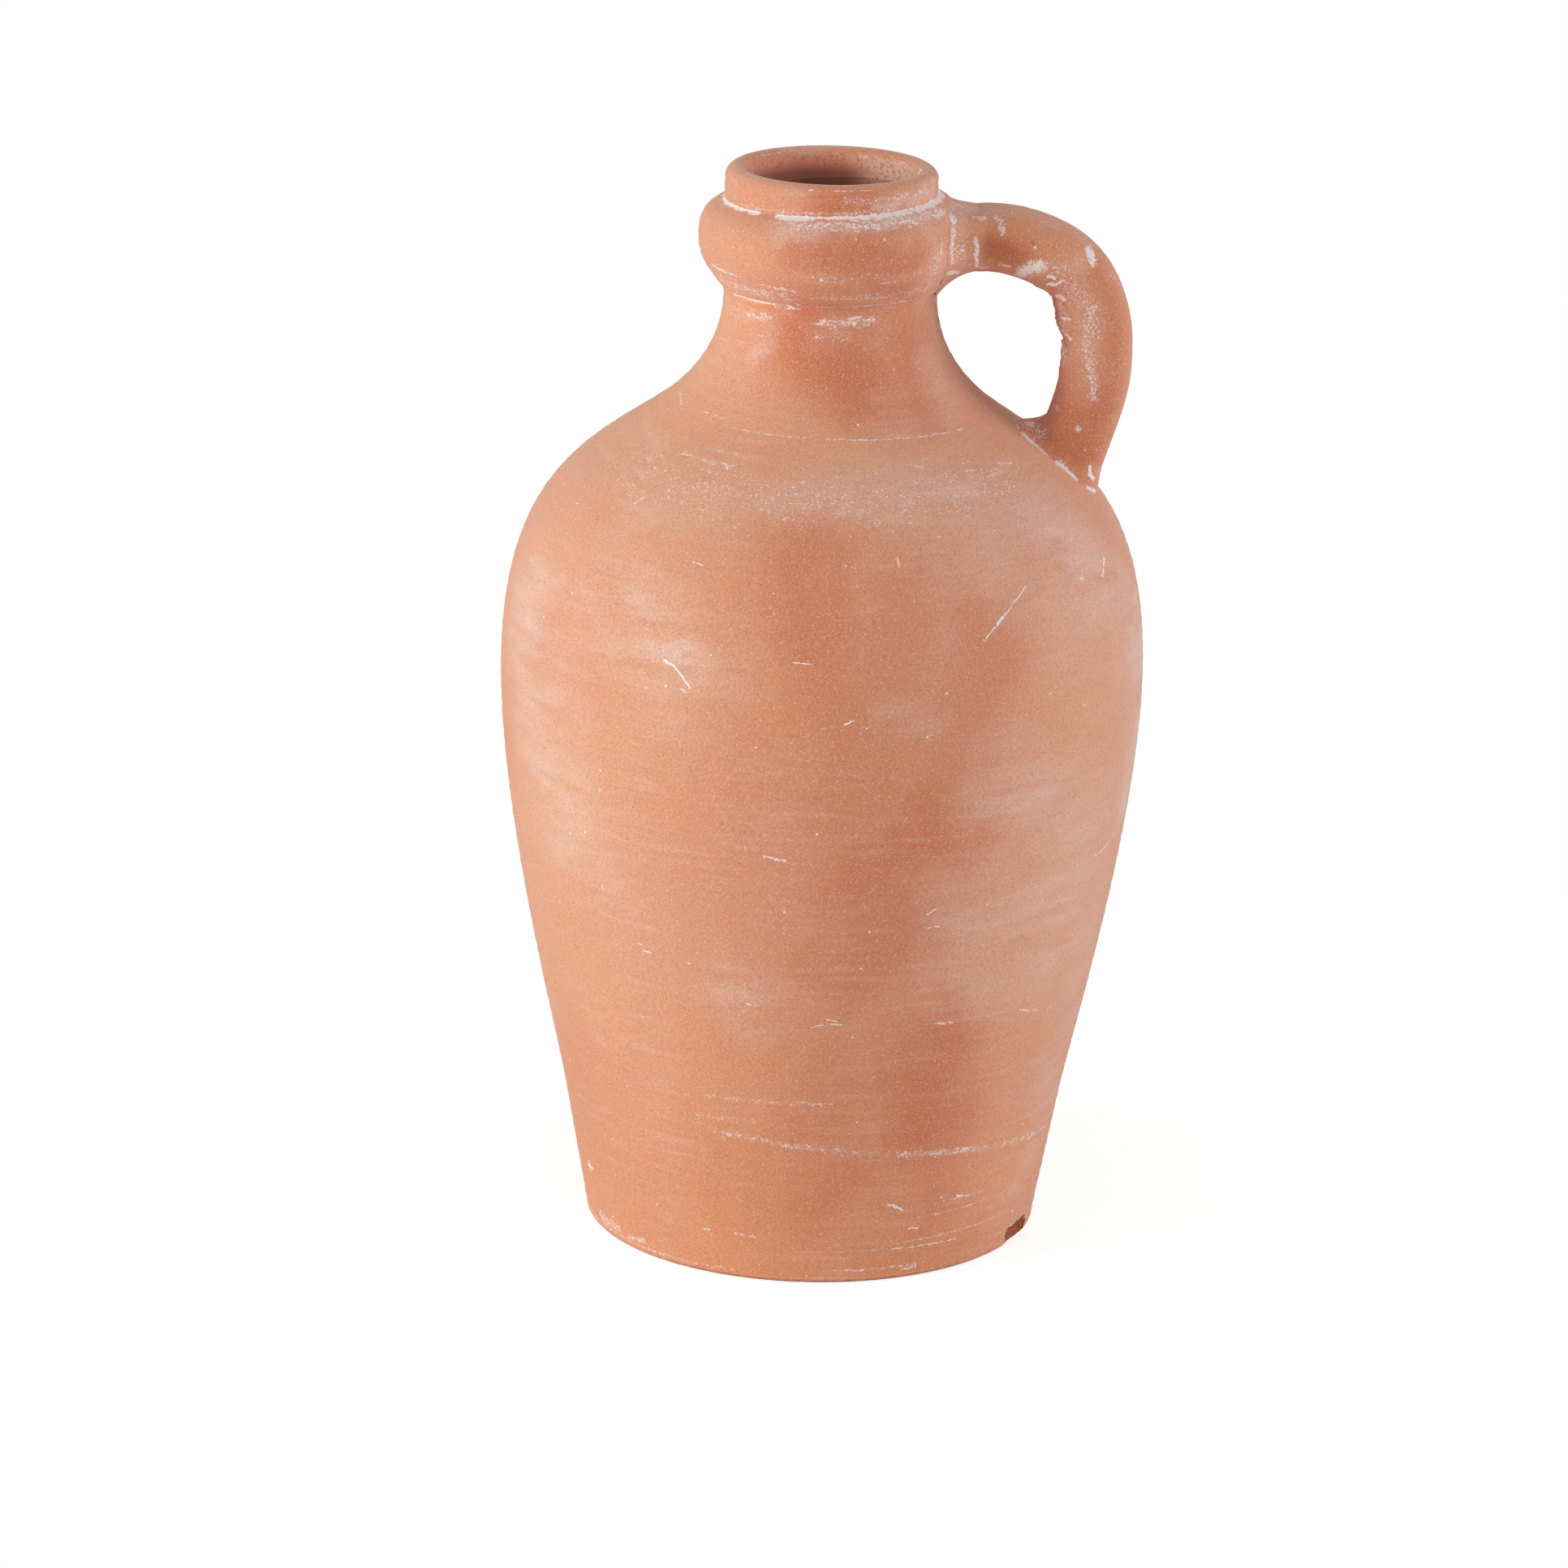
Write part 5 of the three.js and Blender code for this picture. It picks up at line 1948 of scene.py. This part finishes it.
@dataclass
class LipRing(WallSection):
    """The plain band above the groove, with its rounded rim round the mouth."""

    name: str = "lip_ring"
    slot: str = "lip_clay"
    around: int = 320
    fired: float = 0.24
    outer_round: float = 4.2
    inner_round: float = 3.5
    # How far below the rim the painted shade down the mouth starts, and where it is full.
    shade_start: float = 0.3
    shade_depth: float = 6.0
    rings: tuple[RingLine, ...] = (
        RingLine(366.8, 0.9, -32, 200, sway=1.4, kind=Mark.SCRATCH, strength=1.15, fade=2.5),
        RingLine(366.9, 1, -190, -41, sway=1.45, kind=Mark.SCRATCH, strength=1.2, fade=2),
        RingLine(368.2, 1.7, -62, 40, sway=1.2, strength=0.95, fade=10),
        RingLine(375.85, 0.4, -17, 25, kind=Mark.SCRATCH, strength=0.66, fade=4),
        RingLine(372.6, 3.2, 2, 66, strength=0.9, fade=10),
        RingLine(376.4, 1, 46, 92, kind=Mark.SCRATCH, strength=1.1, fade=6, inside=True),
        RingLine(374, 3.2, 60, 200, strength=1.1, fade=14, inside=True),
        RingLine(371.5, 5, -200, -96, strength=0.9, fade=14, inside=True),
        RingLine(376.2, 0.5, -170, -120, strength=0.95, fade=10),
    )
    strokes: tuple[Stroke, ...] = (
        scratch(0.9, 1, (-83.5, 376.3), (-74, 376.1), (-66.6, 375.6)), scratch(0.8, 1, (7.2, 373.7)),
        scratch(0.8, 1, (24.5, 371.9)), bloom(5.4, 1.1, (28, 372.6), (46, 372), (72, 371.5)),
        bloom(4, 0.6, (-66, 377), (-30, 377)), bloom(6, 0.7, (150, 376), (180, 376), (210, 376)),
    )

    def outline(self) -> tuple[np.ndarray, np.ndarray]:
        """Gives the outline up the band, over the rim and down the mouth.

        Returns:
            The points, and for each a number that is 1 on the outside.
        """
        s = self.wall.sizes
        outer = (s.lip_radius - self.outer_round, s.height - self.outer_round)
        inner = (s.mouth_radius + self.inner_round, s.height - self.inner_round)
        return joined([
            (line((s.lip_radius, s.groove), (s.lip_radius, outer[1]), 12), Side.OUTSIDE),
            (arc(outer, self.outer_round, 0, 90, 12), Side.RIM),
            (arc(inner, self.inner_round, 90, 180, 9), Side.RIM),
            (line((s.mouth_radius, inner[1]), (s.mouth_radius, s.groove + 1.0), 8), Side.RIM),
            (line((s.mouth_radius, s.groove), (s.lip_radius, s.groove)), Side.HIDDEN),
        ])

    def turned(self) -> tuple[Lump, dict[str, np.ndarray]]:
        """Turns the outline, and paints shade that darkens the clay softly down the mouth.

        Returns:
            The lump, and the values that its clay reads.
        """
        lump, values = super().turned()
        s = self.wall.sizes
        x, y, height = lump.points.T
        within = np.hypot(x - self.wall.lip_shift, y) < s.mouth_radius + self.inner_round
        shade = eased(height, s.height - self.shade_depth, s.height - self.shade_start)
        # The outside value carries the mouth's painted shade.
        values["outside"] = np.where(within, shade, 1.0)
        return lump, values


@dataclass
class HandlePiece:
    """One of the three pieces of the handle, cut out of its flow."""

    handle: PulledHandle
    clay: FiredClay
    name: str
    slot: str
    joint_reach: float = 1.2
    fired: float = 0.3
    strokes: tuple[Stroke, ...] = ()

    def span(self) -> tuple[int, int]:
        """Gives the first and last ring of the piece."""
        raise NotImplementedError

    def build(self) -> bpy.types.Object:
        """Builds, dresses and seats the piece.

        Returns:
            The piece's object.
        """
        lump, joint = self.handle.lump(self.name, *self.span())
        marking = Marking(self.handle.wall, self.strokes, (), self.joint_reach, self.fired, flat=True)
        made = lump.build([self.clay.material(f"{self.name}_clay", marking)], {"joint": joint})
        seat(made, self.name, self.slot)
        return made


ROOT_MARKS = (
    smear(2, 1.42, (49, 356.5), (49.2, 350.5), (49.6, 346)), smear(1.4, 1.3, (48, 362.6), (52.3, 362.3)),
    smear(4.5, 1.05, (40, 366), (50, 365.4)), bloom(5.5, 0.72, (40, 365), (50, 364.6), (56, 365.4)),
    # The deeper orange at (50, 352) to (64, 350) and the darker patch below are painted shade in the pressed
    # hollow.
    flame_and_shade(10, 0.6, (50, 352), (64, 350)), bloom(9, 0.6, (44, 362), (45.5, 346)),
    shade_and_dark_mark(7, 0.27, (53, 354), (58, 350.5), (65, 345.5)),
)


@dataclass
class TopLuting(HandlePiece):
    """The wad between the collar and the strap."""

    name: str = "handle_top_luting"
    slot: str = "luting_clay"
    joint_reach: float = 0.0
    strokes: tuple[Stroke, ...] = (
        smear(2, 1.6, (38.2, 365.7), (41.4, 362)),
        smear(2, 1.28, (41.1, 361.3), (40.9, 354.7), (40.8, 348.8)),
        smear(1.9, 1.7, (40.2, 344.8), (42.9, 344.1)), smear(1.3, 1.6, (44.3, 352.6)),
        scratch(0.8, 1, (45.7, 348)), smear(9, 0.95, (44, 352)),
        *ROOT_MARKS,
    )

    def span(self) -> tuple[int, int]:
        """Runs from the collar to the strap's root."""
        return 0, self.handle.wad_steps


@dataclass
class Strap(HandlePiece):
    """The pulled strap."""

    name: str = "handle"
    slot: str = "handle_clay"
    joint_reach: float = 0.0
    strokes: tuple[Stroke, ...] = (
        *ROOT_MARKS,
        smear(1, 1.3, (49.6, 345.7), (53.6, 345.1)),
        smear(1.8, 1.2, (55.6, 362.4), (57.4, 361.7), (57.1, 358.8), (58.5, 359.2), (57.9, 357.3)),
        smear(1, 1.3, (57, 346.4), (61, 346)), smear(5.6, 1.55, (65, 344), (68.3, 346.6), (71.4, 347)),
        scratch(1.1, 1, (69, 346), (71, 348.6)), smear(1.4, 1.7, (73.8, 343.7), (76, 343)),
        smear(1.3, 1.7, (73.9, 340.4), (77.1, 340.8), (79.2, 342.5)),
        smear(1.7, 1.8, (77.3, 336.4), (79.8, 335)), smear(1.7, 1.5, (69.2, 353.4)),
        shade_and_dark_mark(1, 0.8, (68.8, 354.8)), smear(2.9, 1.8, (87.4, 351.6), (89, 348.2)),
        scratch(1, 1, (88, 351.2), (89.4, 348.6)), smear(1.4, 1.8, (79.2, 328), (81.6, 328.1)),
        smear(1.4, 1.8, (80, 322.5), (82.5, 320.7)), smear(1.2, 1.6, (79.9, 317.5), (80.3, 313.8)),
        smear(3.4, 1.05, (78.5, 334), (80, 322), (80, 312)),
        smear(12, 0.87, (76, 346), (86, 336), (90, 325)), bloom(12, 0.5, (84, 334), (85, 318), (88, 306)),
        smear(6.4, 1.02, (90, 333), (87.6, 327), (87.6, 319.5), (88.8, 313.4)),
        smear(5.6, 1.1, (88.8, 313.4), (90.2, 307.8), (91, 301.6)), smear(3, 1.15, (78.5, 295.7)),
        smear(3, 1.3, (85.9, 290)), scratch(0.9, 0.9, (88.3, 282.5)),
        bloom(7, 0.6, (79.6, 344), (83, 348)), flame_and_shade(8, 0.5, (76, 341), (79, 330)),
        # The two deeper-orange strokes that run down x 92 to 99 are painted shade along the strap's right side,
        # where it turns away from the light.
        flame_and_shade(16, 0.5, (84, 300), (86, 286)), flame_and_shade(8.5, 0.42, (92, 346), (98, 332), (99, 316), (95, 291)),
        flame_and_shade(12, 0.55, (95, 302), (92, 278)),
    )

    def span(self) -> tuple[int, int]:
        """Runs from the upper wad to the lower one."""
        return self.handle.wad_steps, len(self.handle.flow) - 1 - self.handle.wad_steps


@dataclass
class FootLuting(HandlePiece):
    """The pad between the strap's foot and the shoulder, with its web towards the neck."""

    name: str = "handle_foot_luting"
    slot: str = "luting_clay"
    joint_reach: float = 1.5
    strokes: tuple[Stroke, ...] = (
        smear(1.8, 1.6, (64.9, 292.3), (67.1, 290.1), (70.8, 289)), smear(5, 1.05, (66, 291), (74, 287)),
        smear(2, 1.8, (71.6, 283.4), (75.3, 280)), smear(2.2, 1.9, (89.4, 268.8), (92.1, 266.9)),
        scratch(1.5, 1, (90.3, 276.6), (90.7, 273.5), (91.9, 272)), flame_and_shade(12, 0.5, (76, 287), (85, 280)),
        # Painted shade in the crease at the strap's foot.
        shade_and_dark_mark(3.5, 0.5, (71, 291.5), (76, 288)),
    )

    def span(self) -> tuple[int, int]:
        """Runs from the strap's slanted end to the shoulder."""
        return len(self.handle.flow) - 1 - self.handle.wad_steps, len(self.handle.flow) - 1


@dataclass(frozen=True)
class Softbox:
    """A soft lamp that looks at the middle of the jug. Places and sizes are in metres."""

    name: str
    place: Triple
    size: float
    watts: float
    tint: Colour = (255, 255, 255)

    def light(self, target: Vector) -> None:
        """Hangs the lamp and turns it to the target.

        Args:
            target: Where it points, in metres.
        """
        data = bpy.data.lights.new(self.name, "AREA")
        data.shape = "DISK"
        data.size = self.size
        data.energy = self.watts
        data.color = linear(self.tint)[:3]
        lamp = bpy.data.objects.new(self.name, data)
        lamp.location = self.place
        lamp.rotation_euler = (Vector(self.place) - target).to_track_quat("Z", "Y").to_euler()
        bpy.context.scene.collection.objects.link(lamp)


@dataclass(frozen=True)
class PhotoCamera:
    """The camera that took the picture, found from the rings of the jug. Lengths are in millimetres."""

    distance: float = 2306.1
    height: float = 867.1
    pitch_down: float = 17.133
    yaw: float = -0.304
    roll: float = 1.25
    focal_pixels: float = 8491.1
    picture_pixels: float = 1932.0
    sensor: float = 36.0

    def set_up(self) -> None:
        """Makes the camera and gives it to the scene."""
        data = bpy.data.cameras.new("photo_camera")
        data.sensor_width = self.sensor
        data.lens = self.sensor * self.focal_pixels / self.picture_pixels
        data.clip_start, data.clip_end = 0.05, 60.0
        camera = bpy.data.objects.new("photo_camera", data)
        yaw, pitch, roll = (math.radians(a) for a in (self.yaw, self.pitch_down, self.roll))
        forward = Vector((math.sin(yaw) * math.cos(pitch), math.cos(yaw) * math.cos(pitch), -math.sin(pitch)))
        level = Vector((math.cos(yaw), -math.sin(yaw), 0.0))
        upright = level.cross(forward)
        right = level * math.cos(roll) + upright * math.sin(roll)
        up = upright * math.cos(roll) - level * math.sin(roll)
        turn = Matrix((right, up, -forward)).transposed().to_4x4()
        stand = Matrix.Translation((0.0, -self.distance / METRE, self.height / METRE))
        camera.matrix_world = stand @ turn
        bpy.context.scene.collection.objects.link(camera)
        bpy.context.scene.camera = camera


@dataclass(frozen=True)
class Studio:
    """A white sweep, soft lamps and the photograph's camera."""

    floor_radius: float = 9.0
    floor_rings: int = 24
    floor_around: int = 96
    floor_tone: float = 0.86
    seen_tone: float = 0.55
    glow: float = 0.7
    fade_start: float = 0.1
    fade_end: float = 0.42
    sky: float = 0.4
    camera: PhotoCamera = PhotoCamera()
    lamps: tuple[Softbox, ...] = (
        Softbox("key", (-2.0, -0.75, 0.75), 1.3, 31.5, (251, 253, 248)),
        Softbox("front", (0.5, -2.6, 1.2), 1.3, 10.5),
        Softbox("rim", (1.85, -0.05, 0.7), 1.0, 14.0, (244, 247, 255)),
    )

    def set_up(self, jug_height: float) -> None:
        """Lays the floor, lights the jug and sets the camera.

        Args:
            jug_height: The jug's height in millimetres.
        """
        self.lay_floor()
        self.light_sky()
        for lamp in self.lamps:
            lamp.light(Vector((0.0, 0.0, jug_height / METRE / 2)))
        self.camera.set_up()
        bpy.context.scene.view_settings.view_transform = "Standard"

    def lay_floor(self) -> None:
        """Lays a round floor, finely divided towards the middle."""
        rings, count = self.floor_rings, self.floor_around
        points = [(0.0, 0.0, 0.0)]
        faces = [(0, 1 + step, 1 + (step + 1) % count) for step in range(count)]
        for ring in range(rings):
            radius = self.floor_radius * ((ring + 1) / rings) ** 2
            for step in range(count):
                angle = 2 * math.pi * step / count
                points.append((radius * math.cos(angle), radius * math.sin(angle), 0.0))
            if ring:
                here = 1 + (ring - 1) * count
                faces.extend(face[::-1] for face in ring_faces(here, here + count, count))
        mesh = bpy.data.meshes.new("studio_floor")
        mesh.from_pydata(points, [], faces)
        mesh.materials.append(self.floor_paper())
        floor = bpy.data.objects.new("studio_floor", mesh)
        bpy.context.scene.collection.objects.link(floor)

    def floor_paper(self) -> bpy.types.Material:
        """Makes the floor's white paper, which keeps the jug's shadow and runs out into plain white.

        Returns:
            The material.
        """
        made = bpy.data.materials.new("white_paper")
        g = Graph(made)
        seen = g.node("ShaderNodeLightPath").outputs["Is Camera Ray"]
        tone = g.ramp(seen, 0, 1, self.floor_tone, self.seen_tone)
        paper = g.node("ShaderNodeBsdfDiffuse", {"Color": tone}).outputs[0]
        lift = g.node("ShaderNodeEmission", {"Strength": g.times(seen, self.glow)}).outputs[0]
        near = g.node("ShaderNodeAddShader", {0: paper, 1: lift}).outputs[0]
        far = g.node("ShaderNodeEmission").outputs[0]
        off = g.vector("LENGTH", g.node("ShaderNodeTexCoord").outputs["Object"])
        share = g.times(g.ramp(off, self.fade_start, self.fade_end), seen)
        g.output("ShaderNodeMixShader", {0: share, 1: near, 2: far})
        return made

    def light_sky(self) -> None:
        """Makes the world white to the camera and a soft, even light to the jug."""
        world = bpy.data.worlds.new("studio_light")
        bpy.context.scene.world = world
        g = Graph(world)
        ray = g.node("ShaderNodeLightPath").outputs
        shown = g.greater(g.greater(ray["Is Camera Ray"], ray["Is Glossy Ray"]), ray["Is Transmission Ray"])
        inputs = {"Color": (1, 1, 1, 1), "Strength": g.ramp(shown, 0, 1, self.sky, 1)}
        g.output("ShaderNodeBackground", inputs, "ShaderNodeOutputWorld")


def main() -> None:
    """Builds the jug from the ground up, then its handle, then the studio round it."""
    logging.basicConfig(level=logging.INFO, format="%(name)s: %(message)s")
    sizes = JugSizes()
    wall = Wall(sizes, Throwing(), Fullness())
    clay = FiredClay()
    handle = PulledHandle(wall)
    for section in (FootSection, BodyWall, NeckSection, CollarRing, LipRing):
        section(wall, clay).build(handle)
    for piece in (TopLuting, Strap, FootLuting):
        piece(handle, clay).build()
    Studio().set_up(sizes.height)


if __name__ == "__main__":
    main()
